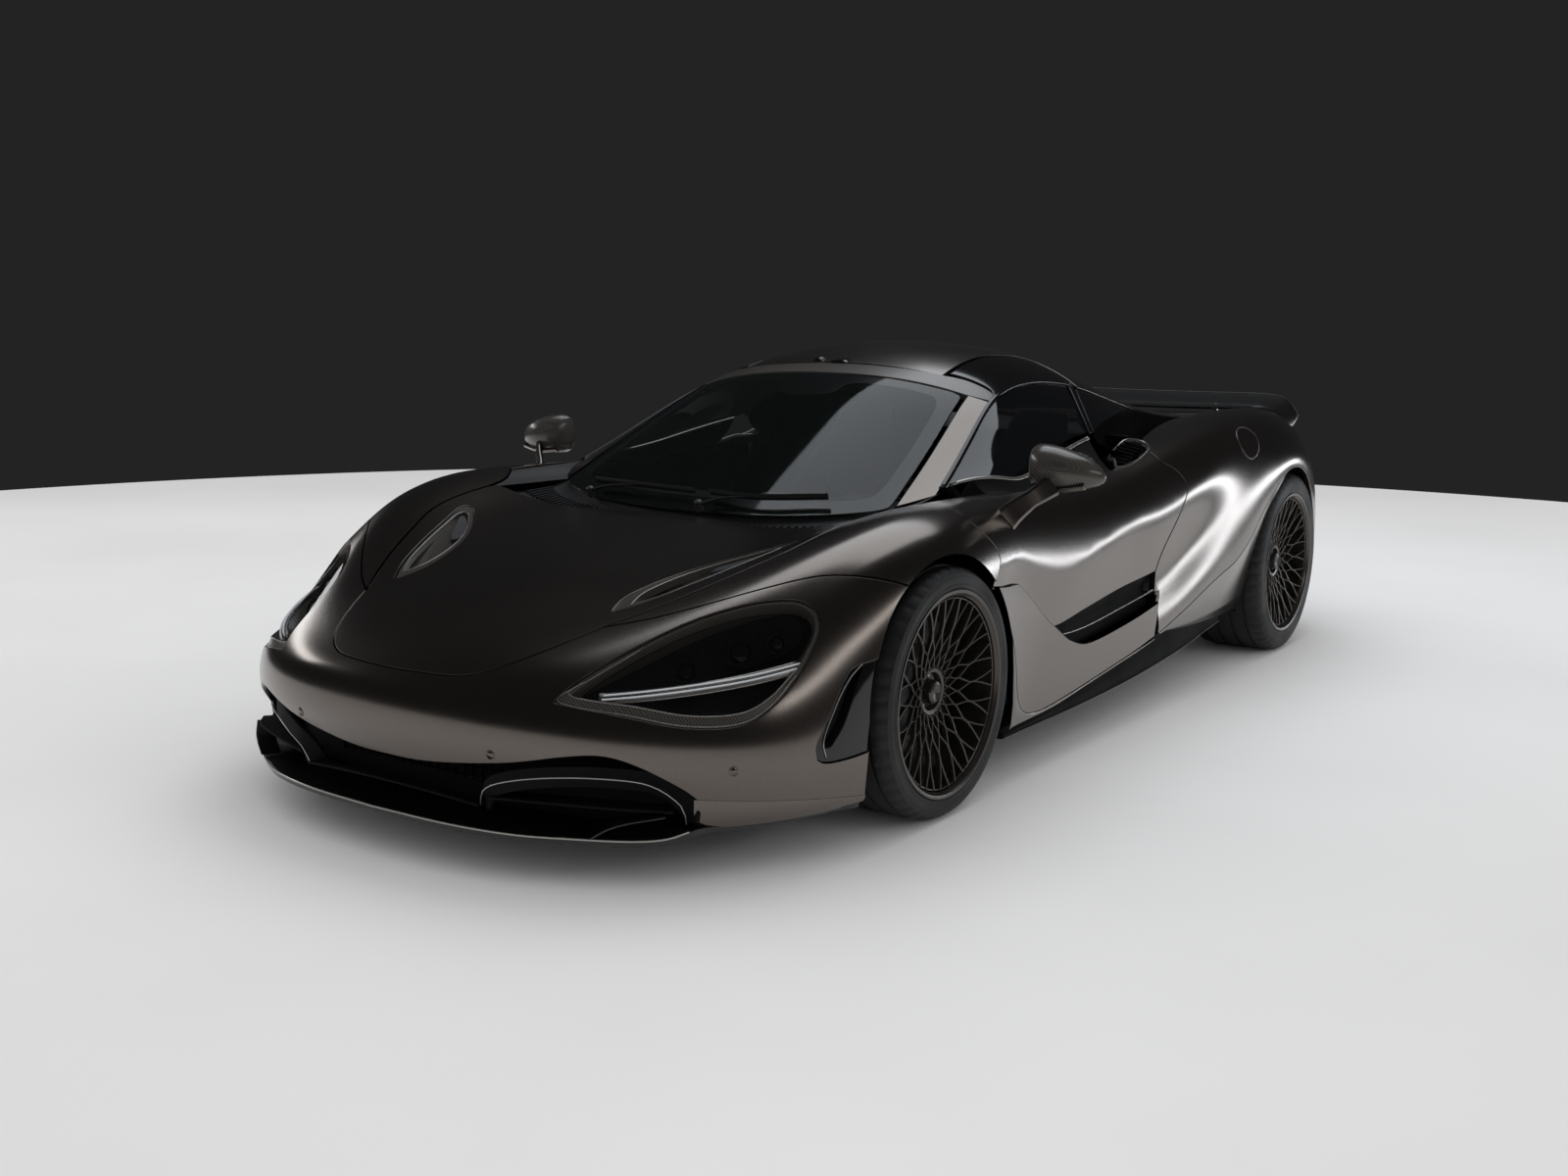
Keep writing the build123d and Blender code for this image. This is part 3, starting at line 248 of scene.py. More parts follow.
# %% Control nets
BODY = [
    [(0, -1000, 215), (230, -985, 215), (440, -940, 212), (610, -865, 205), (740, -765, 195),
     (830, -650, 182), (885, -540, 168), (915, -440, 155), (930, -362, 145)],
    [(0, -1032, 290), (232, -1018, 290), (446, -972, 287), (620, -892, 278), (752, -786, 266),
     (842, -668, 252), (897, -552, 238), (926, -448, 228), (938, -364, 220)],
    [(0, -1035, 372), (230, -1020, 371), (442, -975, 368), (615, -895, 358), (748, -788, 345),
     (840, -668, 330), (898, -548, 315), (929, -440, 304), (940, -358, 300)],
    [(0, -1000, 438), (222, -985, 438), (428, -938, 438), (598, -856, 436), (730, -750, 430),
     (825, -635, 418), (888, -520, 402), (925, -415, 388), (940, -340, 378)],
    [(0, -905, 484), (215, -890, 484), (414, -840, 488), (580, -765, 496), (712, -668, 500),
     (812, -565, 494), (882, -465, 478), (925, -375, 460), (942, -310, 446)],
    [(0, -745, 540), (210, -732, 539), (402, -690, 545), (566, -630, 566), (700, -560, 580),
     (803, -480, 576), (878, -398, 556), (925, -322, 532), (944, -262, 512)],
    [(0, -560, 590), (208, -550, 588), (394, -520, 592), (556, -480, 624), (692, -430, 648),
     (798, -375, 650), (877, -312, 628), (926, -252, 598), (947, -205, 572)],
    [(0, -360, 636), (208, -354, 633), (390, -338, 633), (550, -312, 662), (688, -282, 704),
     (798, -250, 716), (880, -212, 692), (930, -172, 652), (951, -140, 618)],
    [(0, -160, 674), (208, -158, 669), (390, -152, 664), (548, -142, 690), (688, -130, 740),
     (802, -115, 758), (886, -98, 730), (936, -80, 678), (955, -65, 643)],
    [(0, 40, 702), (208, 38, 697), (392, 34, 690), (550, 28, 712), (690, 22, 760),
     (806, 15, 780), (890, 10, 748), (938, 5, 690), (956, 5, 652)],
    [(0, 220, 722), (210, 215, 717), (398, 205, 712), (560, 190, 730), (700, 170, 770),
     (812, 150, 786), (892, 120, 750), (938, 90, 690), (956, 80, 642)],
    [(0, 370, 738), (215, 365, 734), (410, 352, 732), (575, 335, 746), (712, 310, 776),
     (818, 275, 782), (892, 232, 742), (936, 185, 672), (953, 165, 608)],
    [(0, 500, 752), (220, 495, 750), (420, 485, 750), (590, 470, 760), (725, 445, 780),
     (822, 410, 776), (888, 360, 728), (928, 310, 640), (950, 262, 545)],
    [(0, 630, 765), (222, 626, 763), (425, 618, 764), (600, 605, 770), (732, 580, 780),
     (826, 550, 766), (886, 500, 706), (924, 430, 580), (948, 340, 440)],
    [(0, 760, 800), (222, 757, 796), (428, 750, 790), (606, 740, 782), (738, 720, 778),
     (832, 690, 756), (888, 640, 684), (925, 540, 520), (948, 385, 320)],
    [(0, 900, 800), (222, 898, 796), (430, 893, 790), (610, 885, 782), (744, 870, 776),
     (838, 840, 748), (892, 790, 666), (928, 660, 470), (940, 400, 160)],
    [(0, 1080, 800), (222, 1078, 796), (432, 1074, 790), (614, 1068, 782), (750, 1056, 780),
     (846, 1030, 748), (898, 980, 660), (930, 860, 440), (940, 660, 172)],
    [(0, 1280, 800), (222, 1280, 796), (434, 1278, 792), (618, 1275, 790), (756, 1268, 792),
     (854, 1250, 760), (906, 1200, 666), (934, 1090, 440), (940, 940, 200)],
    [(0, 1500, 800), (224, 1500, 800), (436, 1500, 800), (622, 1498, 810), (762, 1495, 822),
     (862, 1480, 786), (914, 1440, 684), (940, 1350, 450), (944, 1240, 232)],
    [(0, 1720, 800), (224, 1720, 804), (440, 1720, 815), (626, 1720, 840), (768, 1718, 862),
     (870, 1705, 820), (924, 1680, 706), (948, 1610, 480), (950, 1540, 270)],
    [(0, 1940, 810), (224, 1940, 818), (440, 1940, 834), (628, 1940, 868), (772, 1940, 898),
     (876, 1930, 852), (934, 1910, 732), (956, 1860, 520), (956, 1820, 320)],
    [(0, 2150, 825), (224, 2150, 832), (440, 2150, 850), (628, 2150, 890), (772, 2150, 922),
     (880, 2145, 878), (942, 2130, 760), (962, 2100, 560), (962, 2070, 360)],
    [(0, 2350, 838), (224, 2350, 844), (440, 2350, 862), (628, 2350, 904), (770, 2350, 934),
     (880, 2350, 896), (946, 2345, 790), (968, 2330, 680), (966, 2290, 560)],
    [(0, 2530, 846), (224, 2530, 852), (440, 2530, 870), (626, 2530, 910), (766, 2530, 938),
     (878, 2535, 904), (946, 2540, 812), (970, 2540, 740), (968, 2530, 700)],
    [(0, 2700, 852), (224, 2700, 858), (440, 2700, 874), (624, 2700, 912), (760, 2700, 938),
     (872, 2705, 906), (942, 2710, 816), (966, 2710, 752), (966, 2700, 714)],
    [(0, 2880, 856), (224, 2880, 862), (440, 2880, 876), (620, 2880, 910), (748, 2880, 922),
     (856, 2880, 872), (926, 2880, 784), (956, 2870, 720), (958, 2850, 672)],
    [(0, 3050, 858), (224, 3050, 864), (438, 3050, 876), (612, 3050, 904), (736, 3050, 905),
     (838, 3045, 850), (908, 3030, 742), (944, 3000, 640), (948, 2980, 560)],
    [(0, 3220, 860), (222, 3220, 866), (434, 3215, 876), (602, 3205, 882), (720, 3195, 858),
     (820, 3180, 795), (892, 3150, 685), (930, 3110, 520), (935, 3080, 400)],
    [(0, 3400, 862), (220, 3398, 868), (428, 3385, 876), (590, 3365, 850), (700, 3345, 822),
     (790, 3315, 750), (858, 3270, 630), (894, 3220, 440), (900, 3190, 300)],
]

# Control net of the greenhouse: columns from the windscreen's base over the roof to the rear
# deck; rows from the centreline over the roof's edge and down the side glass to the belt.
CABIN = [
    [(0, 95, 700), (245, 115, 703), (480, 185, 714), (640, 290, 740), (700, 350, 752),
     (748, 400, 762), (785, 450, 766)],
    [(0, 330, 832), (230, 345, 834), (450, 395, 838), (612, 500, 838), (672, 560, 832),
     (728, 610, 808), (775, 660, 772)],
    [(0, 590, 967), (215, 598, 965), (415, 620, 955), (575, 700, 938), (640, 760, 915),
     (705, 800, 858), (762, 850, 785)],
    [(0, 860, 1095), (200, 855, 1090), (385, 850, 1068), (535, 880, 1030), (605, 930, 985),
     (680, 960, 905), (748, 1000, 805)],
    [(0, 1100, 1168), (190, 1095, 1160), (365, 1090, 1135), (505, 1080, 1085), (580, 1120, 1025),
     (662, 1140, 935), (735, 1170, 835)],
    [(0, 1330, 1190), (185, 1325, 1180), (355, 1320, 1155), (495, 1310, 1098), (570, 1330, 1035),
     (655, 1330, 950), (728, 1340, 860)],
    [(0, 1600, 1175), (182, 1590, 1164), (352, 1580, 1138), (495, 1560, 1078), (572, 1560, 1020),
     (655, 1540, 945), (722, 1520, 880)],
    [(0, 1900, 1120), (180, 1890, 1108), (350, 1860, 1082), (498, 1830, 1020), (580, 1800, 975),
     (660, 1760, 920), (718, 1720, 890)],
    [(0, 2200, 1040), (180, 2190, 1030), (350, 2150, 1003), (500, 2120, 950), (590, 2060, 925),
     (665, 1990, 900), (716, 1940, 890)],
    [(0, 2500, 960), (180, 2490, 955), (350, 2440, 935), (500, 2400, 905), (600, 2330, 895),
     (670, 2260, 890), (716, 2200, 890)],
    [(0, 2800, 905), (180, 2790, 902), (350, 2740, 895), (500, 2700, 885), (610, 2650, 880),
     (672, 2560, 880), (716, 2480, 885)],
]

TAIL = [
    [(0, 3440, 800), (300, 3435, 800), (560, 3415, 800), (700, 3385, 780), (784, 3322, 745)],
    [(0, 3455, 700), (300, 3450, 700), (580, 3425, 705), (750, 3380, 700), (845, 3290, 660)],
    [(0, 3465, 580), (300, 3460, 580), (600, 3430, 580), (790, 3370, 570), (876, 3250, 540)],
    [(0, 3460, 470), (300, 3455, 470), (600, 3425, 465), (800, 3350, 450), (892, 3212, 430)],
    [(0, 3430, 380), (300, 3425, 380), (600, 3395, 370), (800, 3320, 350), (896, 3196, 310)],
]


def skin_of(net, scale):
    """Smooth skin of a net: gives the points at pairs (station, row); a negative row is the
    car's right. Its scale is the length in metres of one step of station and of row."""
    grid = np.array(net, float) * MM + (0, NOSE_AXLE, 0)
    grid = np.concatenate([grid[:, 1:2] * (-1, 1, 1), grid, 2 * grid[:, -1:] - grid[:, -2:-1]], 1)
    grid = np.concatenate([2 * grid[:1] - grid[1:2], grid, 2 * grid[-1:] - grid[-2:-1]], 0)

    def cubic(t, count):
        i = np.clip(np.floor(t), 0, count - 2).astype(int)
        f = t - i
        return i, np.stack([(1 - f) ** 3, 3 * f ** 3 - 6 * f ** 2 + 4,
                            1 + 3 * f + 3 * f ** 2 - 3 * f ** 3, f ** 3], 1) / 6

    def place(uv):
        uv = np.asarray(uv, float)
        i, a = cubic(uv[:, 0], grid.shape[0] - 2)
        j, b = cubic(np.abs(uv[:, 1]), grid.shape[1] - 2)
        points = sum((a[:, p] * b[:, q])[:, None] * grid[i + p, j + q] for p in range(4) for q in range(4))
        points[:, 0] *= np.where(uv[:, 1] < 0, -1, 1)
        return points

    place.scale = scale
    return place


body_skin = skin_of(BODY, (0.155, 0.125))
cabin_skin = skin_of(CABIN, (0.27, 0.125))
tail_skin = skin_of(TAIL, (0.1, 0.28))


def unit(v):
    """Vectors of length one."""
    return v / np.maximum(np.linalg.norm(v, axis=-1, keepdims=True), 1e-12)


def facing(place, uv):
    """Outward unit normals of a surface at the given pairs."""
    uv, e = np.asarray(uv, float), 0.004
    du = place(uv + (e, 0)) - place(uv - (e, 0))
    dv = place(uv + (0, e)) - place(uv - (0, e))
    return unit(np.cross(dv, du))


def sunk(place, depth):
    """The same surface, moved inwards by a depth: a number, or a function of the pairs."""
    def moved(uv):
        uv = np.asarray(uv, float)
        by = depth(uv) if callable(depth) else np.full(len(uv), depth)
        return place(uv) - facing(place, uv) * np.reshape(by, (-1, 1))

    moved.scale = place.scale
    return moved


print("skin samples", body_skin([(0, 0), (10, 4), (25, 8)]).round(3).tolist())

# %% [markdown]
# ## Making shapes
# Every piece gathers its points and faces in a Shape, so that one piece can hold both sides of
# the car. Panels carry exact normals taken from the skin, which keeps reflections clean on a
# coarse mesh; turned and boxy parts get sharp edges by angle.


# %% Shapes
class Shape:
    def __init__(self):
        self.points, self.normals, self.faces, self.slots = np.zeros((0, 3)), np.zeros((0, 3)), [], []

    def add(self, points, faces, normals=None, slot=0):
        points, start = np.asarray(points, float).reshape(-1, 3), len(self.points)
        self.points = np.concatenate([self.points, points])
        self.normals = np.concatenate([self.normals, 0 * points if normals is None else normals])
        self.faces += [tuple(int(k) + start for k in f) for f in faces]
        self.slots += slot if isinstance(slot, list) else [slot] * len(faces)
        return self

    def put(self, part, turn, place):
        """Add another shape, turned by a matrix and moved to a place."""
        return self.add(part.points @ np.array(turn).T + np.array(place), part.faces, slot=part.slots)

    def mirrored(self):
        return Shape().add(self.points * (-1, 1, 1), [f[::-1] for f in self.faces],
                           self.normals * (-1, 1, 1), self.slots)

    def both(self):
        """Add the mirror image of everything so far, across the car's centreline."""
        twin = self.mirrored()
        return self.add(twin.points, twin.faces, twin.normals, twin.slots)


def make(shape, name, body, slot, materials, replaces=(), sharp=32):
    """Turn a Shape into an object that rides on a body."""
    mesh = bpy.data.meshes.new(name)
    mesh.from_pydata(shape.points.tolist(), [], shape.faces)
    for material in materials:
        mesh.materials.append(material)
    mesh.polygons.foreach_set("material_index", shape.slots)
    mesh.polygons.foreach_set("use_smooth", [True] * len(shape.faces))
    mesh.update()
    given = np.linalg.norm(shape.normals, axis=1) > 0.5
    if given.any():
        own = np.zeros(len(given) * 3)
        mesh.vertex_normals.foreach_get("vector", own)
        mixed = np.where(given[:, None], shape.normals, own.reshape(-1, 3))
        mesh.normals_split_custom_set_from_vertices(mixed.tolist())
    else:
        mesh.set_sharp_from_angle(angle=radians(sharp))
    piece = bpy.data.objects.new(name, mesh)
    bpy.context.scene.collection.objects.link(piece)
    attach(piece, body)
    if replaces:
        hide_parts(*replaces)


def ats(points):
    """Frame points from millimetres: half-width, behind the front axle, height."""
    return np.array(points, float) * MM + (0, NOSE_AXLE, 0)


def at(x, y, z):
    """One point of the frame from millimetres behind the front axle."""
    return ats([(x, y, z)])[0]


def line(points, gap):
    """Points every so far along a smooth line through the given ones."""
    points = np.array(points, float)
    if len(points) == 2:
        count = max(int(np.linalg.norm(points[1] - points[0]) / gap), 1)
        return points[0] + np.linspace(0, 1, count + 1)[:, None] * (points[1] - points[0])
    ends = np.concatenate([[2 * points[0] - points[1]], points, [2 * points[-1] - points[-2]]])
    out = []
    for a, b, c, d in zip(ends, ends[1:], ends[2:], ends[3:]):
        count = max(int(round(np.linalg.norm(c - b) / gap)), 1)
        f = np.linspace(0, 1, count + 1)[:-1, None]
        out.append(b + 0.5 * f * (c - a + f * (2 * a - 5 * b + 4 * c - d + f * (3 * b - a - 3 * c + d))))
    return np.concatenate(out + [points[-1:]])


def inside(points, loop):
    """Which 2-D points lie inside a closed loop."""
    x, y = points[:, 0], points[:, 1]
    hit = np.zeros(len(points), bool)
    for (x0, y0), (x1, y1) in zip(loop, np.roll(loop, -1, 0)):
        if y0 != y1:
            hit ^= ((y0 > y) != (y1 > y)) & (x < (x1 - x0) * (y - y0) / (y1 - y0) + x0)
    return hit


def loop_of(sides, scale, gap):
    """Closed outline from sides that meet at corners, each a smooth line."""
    return np.concatenate([line(np.array(side, float) * scale, gap)[:-1] for side in sides])


def grid_faces(rows, columns, wrap_rows=False, wrap_columns=True):
    """Four-sided faces of a grid of points, closed round either way on request."""
    faces = []
    for r in range(rows if wrap_rows else rows - 1):
        for c in range(columns if wrap_columns else columns - 1):
            a, b = r * columns + c, r * columns + (c + 1) % columns
            s = (r + 1) % rows * columns
            faces.append((a, b, s + (c + 1) % columns, s + c))
    return faces


print("Shape, make and line are ready")

# %% [markdown]
# ### Panels
# A pressed panel has a smooth face, edges that roll over by a small radius, and a flange behind.
# Its outline and holes are drawn in the skin's own station and row. A Delaunay mesh fills the
# outline there, and is lifted onto the skin afterwards, so it follows every curve.


# %% Panels
def panel(shape, place, sides, holes=(), step=0.022, gap=0.0016, edge=0.0016, depth=0.012, slot=0,
          back=None):
    """Cut a panel out of a surface; its edges turn in by depth, and back adds an inner face."""
    scale = place.scale
    loops = [loop_of(s, scale, 0.012) for s in [sides] + list(holes)]
    rim = np.concatenate(loops)

    def kept(points):
        return inside(points, loops[0]) & ~sum((inside(points, hole) for hole in loops[1:]),
                                               np.zeros(len(points), bool))

    low, high = loops[0].min(0), loops[0].max(0)
    counts = np.maximum(((high - low) / step).astype(int), 1)
    axes = [np.linspace(low[k], high[k], counts[k] + 1) for k in (0, 1)]
    grid = np.stack(np.meshgrid(*axes, indexing="ij"), -1).reshape(-1, 2)
    grid = grid[kept(grid)]
    far = np.ones(len(grid), bool)
    for start in range(0, len(rim), 400):
        far &= ((grid[:, None] - rim[None, start:start + 400]) ** 2).sum(2).min(1) > (0.5 * step) ** 2
    edges, spans, start = [], [], 0
    for loop in loops:
        ids = start + np.arange(len(loop))
        edges += zip(ids.tolist(), np.roll(ids, -1).tolist())
        spans.append(ids)
        start += len(loop)
    out = delaunay_2d_cdt([Vector(p) for p in np.concatenate([rim, grid[far]])], edges, [], 0, 1e-7)
    flat = np.array([tuple(p) for p in out[0]])
    tris = np.array(out[2])
    tris = tris[kept(flat[tris].mean(1))]
    where = {old: new for new, olds in enumerate(out[3]) for old in olds}
    points, normals = place(flat / scale), facing(place, flat / scale)
    a, b, c = (points[tris[:, k]] for k in range(3))
    upside = (np.cross(b - a, c - a) * normals[tris[:, 0]]).sum(1) < 0
    tris[upside] = tris[upside][:, ::-1]
    # Which way is into the panel, for each point of the rim
    rings = []
    for loop, ids in zip(loops, spans):
        ids = np.array([where[k] for k in ids])
        p, n = points[ids], normals[ids]
        ahead = np.roll(loop, -1, 0) - np.roll(loop, 1, 0)
        area = np.sum(loop[:, 0] * np.roll(loop[:, 1], -1) - np.roll(loop[:, 0], -1) * loop[:, 1])
        turn = np.sign(area) * (1 if loop is loops[0] else -1)
        left = unit(np.stack([-ahead[:, 1], ahead[:, 0]], 1)) * turn
        inward = place((loop + left * 0.002) / scale) - p
        for direction in (unit(np.roll(p, -1, 0) - np.roll(p, 1, 0)), n):
            inward -= direction * (inward * direction).sum(1)[:, None]
        rings.append((ids, p, n, unit(inward)))
    for ids, p, n, inward in rings:
        points[ids] = p + inward * (gap + edge)
    shape.add(points, tris.tolist(), normals, slot)
    # Rolled edge and flange
    for ids, p, n, inward in rings:
        stack = np.concatenate([points[ids], p + inward * (gap + 0.3 * edge) - n * 0.3 * edge,
                                p + inward * gap - n * edge, p + inward * gap - n * max(depth, edge)])
        strips = grid_faces(4, len(ids))
        quad = strips[0]
        face_n = np.cross(stack[quad[1]] - stack[quad[0]], stack[quad[3]] - stack[quad[0]])
        if (face_n * (n[0] - inward[0])).sum() < 0:
            strips = [f[::-1] for f in strips]
        shape.add(stack, strips, np.concatenate([n, (n - inward) / np.sqrt(2), -inward, -inward]), slot)
    if back is not None:
        shape.add(points - normals * depth, [f[::-1] for f in tris.tolist()], -normals, back)


def flipped(side):
    """The same outline on the car's other side."""
    return [(u, -v) for u, v in side]


def halves(sides):
    """Whole outline of a panel over the centreline, from its left half, front to rear."""
    other = [flipped(side)[::-1] for side in sides]
    return [other[0] + sides[0][1:]] + sides[1:-1] + [sides[-1] + other[-1][1:]] + other[1:-1][::-1]


print("panel tools ready")

# %% [markdown]
# ## Bars, rings and blocks
# Trim strips, spokes and rods are a section carried along a path. Tyres, discs and lips are a
# profile turned about the axle. Small housings are blocks with cut edges, and sheets and lofts
# join rows of points.


# %% Sweeps, turnings and blocks
def sweep(shape, path, up, section, closed=False, scale=None, slot=0, caps=True):
    """Carry a section [(side, up)...] along a path; up is one vector or one for each point."""
    path = np.array(path, float)
    up = np.broadcast_to(np.array(up, float), path.shape)
    ahead = np.roll(path, -1, 0) - np.roll(path, 1, 0)
    if not closed:
        ahead[0], ahead[-1] = path[1] - path[0], path[-1] - path[-2]
    side = unit(np.cross(unit(ahead), up))
    top = np.cross(side, unit(ahead))
    section = np.array(section, float)
    size = np.reshape(np.ones(len(path)) if scale is None else scale, (-1, 1, 1))
    outline = side[:, None] * section[None, :, :1] + top[:, None] * section[None, :, 1:]
    rings = path[:, None] + outline * size
    faces = grid_faces(len(path), len(section), closed)
    if caps and not closed:
        n, last = len(section), (len(path) - 1) * len(section)
        faces += [tuple(range(n)), tuple(reversed(range(last, last + n)))]
    return shape.add(rings, faces, slot=slot)


def trace(shape, place, points, depth, section, gap=0.02, **more):
    """Sweep along a smooth line drawn on a skin, sunk by a depth."""
    row = line(np.array(points) * place.scale, gap) / place.scale
    return sweep(shape, sunk(place, depth)(row), facing(place, row), section, **more)


def oval(width, height, count=8):
    """Oval section."""
    return [(width / 2 * cos(2 * pi * k / count), height / 2 * sin(2 * pi * k / count)) for k in range(count)]


def bar(width, height, edge=0.25):
    """Rectangular section with cut corners."""
    w, h, e = width / 2, height / 2, min(width, height) * edge
    half = [(w - e, -h), (w, e - h), (w, h - e), (w - e, h)]
    return half + [(-x, y) for x, y in reversed(half)]


def turned(shape, profile, centre, count=72, slot=0, closed=False):
    """Turn a profile [(x, radius)...] about the line through centre along the car's width."""
    profile = np.array(profile, float)
    rings = [np.stack([profile[:, 0], profile[:, 1] * cos(a), profile[:, 1] * sin(a)], 1) + centre
             for a in np.arange(count) * 2 * pi / count]
    return shape.add(rings, grid_faces(count, len(profile), True, closed), slot=slot)


def aimed(direction):
    """Matrix that turns the width axis to a direction."""
    return Vector((1, 0, 0)).rotation_difference(Vector(direction)).to_matrix()


def block(shape, low, high, bevel=0.004, slot=0, turn=None):
    """Box between two frame points with cut edges; turn is an optional matrix about its middle."""
    low, high = np.minimum(low, high), np.maximum(low, high)
    half = (high - low) / 2
    cut = min(bevel, *(half * 0.49))
    corners = np.stack(np.meshgrid(*[(-1, 1)] * 3, indexing="ij"), -1).reshape(-1, 1, 3)
    hull = bmesh.new()
    for p in (corners * (half - cut + cut * np.eye(3))).reshape(-1, 3):
        hull.verts.new(p)
    bmesh.ops.convex_hull(hull, input=hull.verts)
    hull.verts.index_update()
    part = Shape().add([v.co for v in hull.verts], [[v.index for v in f.verts] for f in hull.faces],
                       slot=slot)
    hull.free()
    return shape.put(part, np.eye(3) if turn is None else turn, (low + high) / 2)


def loft(shape, rings, slot=0):
    """Skin over closed rings with equal counts of points."""
    count = len(rings[0])
    last = (len(rings) - 1) * count
    faces = grid_faces(len(rings), count) + [tuple(reversed(range(count))), tuple(range(last, last + count))]
    return shape.add(rings, faces, slot=slot)


def sheet(shape, rows, flip=False, slot=0, wrap=False):
    """Open skin over rows with equal counts of points; flip turns its faces over."""
    faces = grid_faces(len(rows), len(rows[0]), False, wrap)
    return shape.add(rows, [f[::-1] for f in faces] if flip else faces, slot=slot)


def mix(a, b, f):
    """Point or row a share of the way from a to b."""
    return a * (1 - f) + b * f


print("bars, turnings and blocks ready")

# %% [markdown]
# ## Outer panels
# The shut lines are drawn once on the skin, as station and row, and shared by the panels on
# both sides of each gap. The wheel openings come from the wheels: an arch is where the skin is
# one tyre radius and a small gap away from the axle.

# %% Shut lines and arches
ARCH_F, ARCH_R = 0.352, 0.366


def foot(u, hub=FRONT_HUB, radius=ARCH_F):
    """Lowest row of the skin at a station: its own edge, or the wheel's arch."""
    rows = np.linspace(8.0, 5.0, 601)
    p = body_skin(np.stack([np.full(len(rows), u), rows], 1))
    clear = np.hypot(p[:, 1] - hub[1], p[:, 2] - hub[2]) >= radius
    return (u, float(rows[np.argmax(clear)]))


def arch(u0, u1, hub=FRONT_HUB, radius=ARCH_F, count=60):
    """Edge of a wheel opening on the body, between two stations."""
    return [foot(u, hub, radius) for u in np.linspace(u0, u1, count)]


BONNET_FRONT = [(3.05, 0), (3.07, 0.5), (3.15, 0.95), (3.5, 1.3), (4.2, 1.7), (4.87, 2.05)]
BONNET_SIDE = [(4.87, 2.05), (5.7, 2.7), (6.63, 3.3), (7.3, 3.64), (8.1, 3.74), (8.85, 3.74)]
SHOULDER = [(4.87, 2.05), (5.15, 2.75), (5.72, 3.92), (6.12, 4.84), (6.30, 5.59), (6.47, 6.4),
            foot(6.69)]
COWL_LINE = [(8.85, 3.74), (9.06, 3.5), (9.1, 2.0), (9.14, 0)]
DOOR_FRONT = [(10.15, 4.35), (10.35, 5.1), (10.66, 5.93), (11.3, 6.52), (11.76, 6.82), (11.96, 7.1)]
DOOR_NOSE = [(11.96, 7.1), (11.9, 7.4), (11.78, 7.72), foot(11.7)]
DOOR_REAR = [(18.55, 4.35), (18.52, 4.9), (18.8, 5.4), (19.0, 5.85), (18.84, 6.22), (18.45, 6.72),
             (18.32, 7.02)]
BLADE_TOP = [(11.86, 7.8), (12.25, 7.58), (12.9, 7.22), (13.21, 7.15), (14.28, 7.12), (15.21, 7.2),
             (15.91, 7.38), (16.5, 7.49), (17.53, 7.49), (18.36, 7.45)]
LAMP_HOLE = [(2.66, 2.2), (3.3, 2.38), (4.18, 2.73), (4.93, 3.26), (5.34, 3.95), (5.47, 4.59), (5.42, 5.02),
             (5.14, 5.42), (4.62, 5.62), (3.60, 5.54), (2.84, 5.22), (2.34, 4.72), (2.22, 3.9),
             (2.42, 3.1), (2.66, 2.2)]
VENT = [(5.35, 1.9), (5.9, 1.8), (6.6, 1.98), (7.2, 2.35), (7.66, 2.82), (7.9, 3.2), (7.72, 3.3),
        (7.1, 3.02), (6.4, 2.66), (5.8, 2.3), (5.35, 1.9)]
INSERT = [foot(1.43), (1.24, 6.6), (1.36, 6.24), (1.82, 6.2), (2.6, 6.47), (3.59, 6.68), (3.95, 6.86),
          foot(4.24)]
BUMPER_LIP = [(0.22, 0), (0.27, 0.59), (0.66, 1.57), (1.12, 2.35), (1.26, 2.84), (1.0, 3.29),
              (0.4, 3.8), (0.0, 4.03)]


def smooth_step(t):
    """Rise from 0 to 1 with soft ends."""
    t = np.clip(t, 0, 1)
    return t * t * (3 - 2 * t)


print(len(BONNET_FRONT) + len(BONNET_SIDE) + len(COWL_LINE), "points round half a bonnet")

# %% [markdown]
# ### Bonnet
# The luggage lid has a rounded nose and two leaf-shaped vents. It is one pressed panel, drawn
# as its left half and mirrored, so that it stays symmetrical.

# %% Bonnet
BONNET = halves([BONNET_FRONT, BONNET_SIDE, COWL_LINE])
bonnet = Shape()
panel(bonnet, body_skin, BONNET, gap=0.0022, holes=[[VENT], [flipped(VENT)]], depth=0.016, back=1)
make(bonnet, "bonnet_skin", "bonnet", "satin_paint", [satin_paint, black_abs], ["bonnet"])
print("bonnet", len(bonnet.points), "points")

# %% [markdown]
# ### Luggage tub
# Under the lid is a moulded tub. Its rim follows the lid's outline, so each ring of points runs
# from that outline in to a rounded rectangle, over a sloping ledge and down to a cloth floor.

# %% Luggage tub
TUB_MIDDLE, TUB_WIDE, TUB_LONG = at(0, -62, 0), 0.318, 0.345
CORNERS = 6                  # a higher power makes squarer corners
rim = loop_of(BONNET, body_skin.scale, 0.02) / body_skin.scale
rim = sunk(body_skin, 0.034)((rim - (6, 0)) * (0.985, 0.965) + (6, 0))
angle = np.arctan2(rim[:, 1] - TUB_MIDDLE[1], rim[:, 0])
wide_share, long_share = np.abs(np.cos(angle) / TUB_WIDE), np.abs(np.sin(angle) / TUB_LONG)
reach = (wide_share ** CORNERS + long_share ** CORNERS) ** (-1 / CORNERS)
well = np.stack([reach * np.cos(angle), reach * np.sin(angle), 0 * angle], 1)
rings = [rim, mix(rim, well + TUB_MIDDLE, 0.04) - (0, 0, 0.012)]
for share, height in ((0.4, 0.584), (0.1, 0.541), (0, 0.515)):
    ring = mix(well + TUB_MIDDLE, rim, share)
    ring[:, 2] = np.minimum(rim[:, 2] - 0.03, height)
    rings.append(ring)
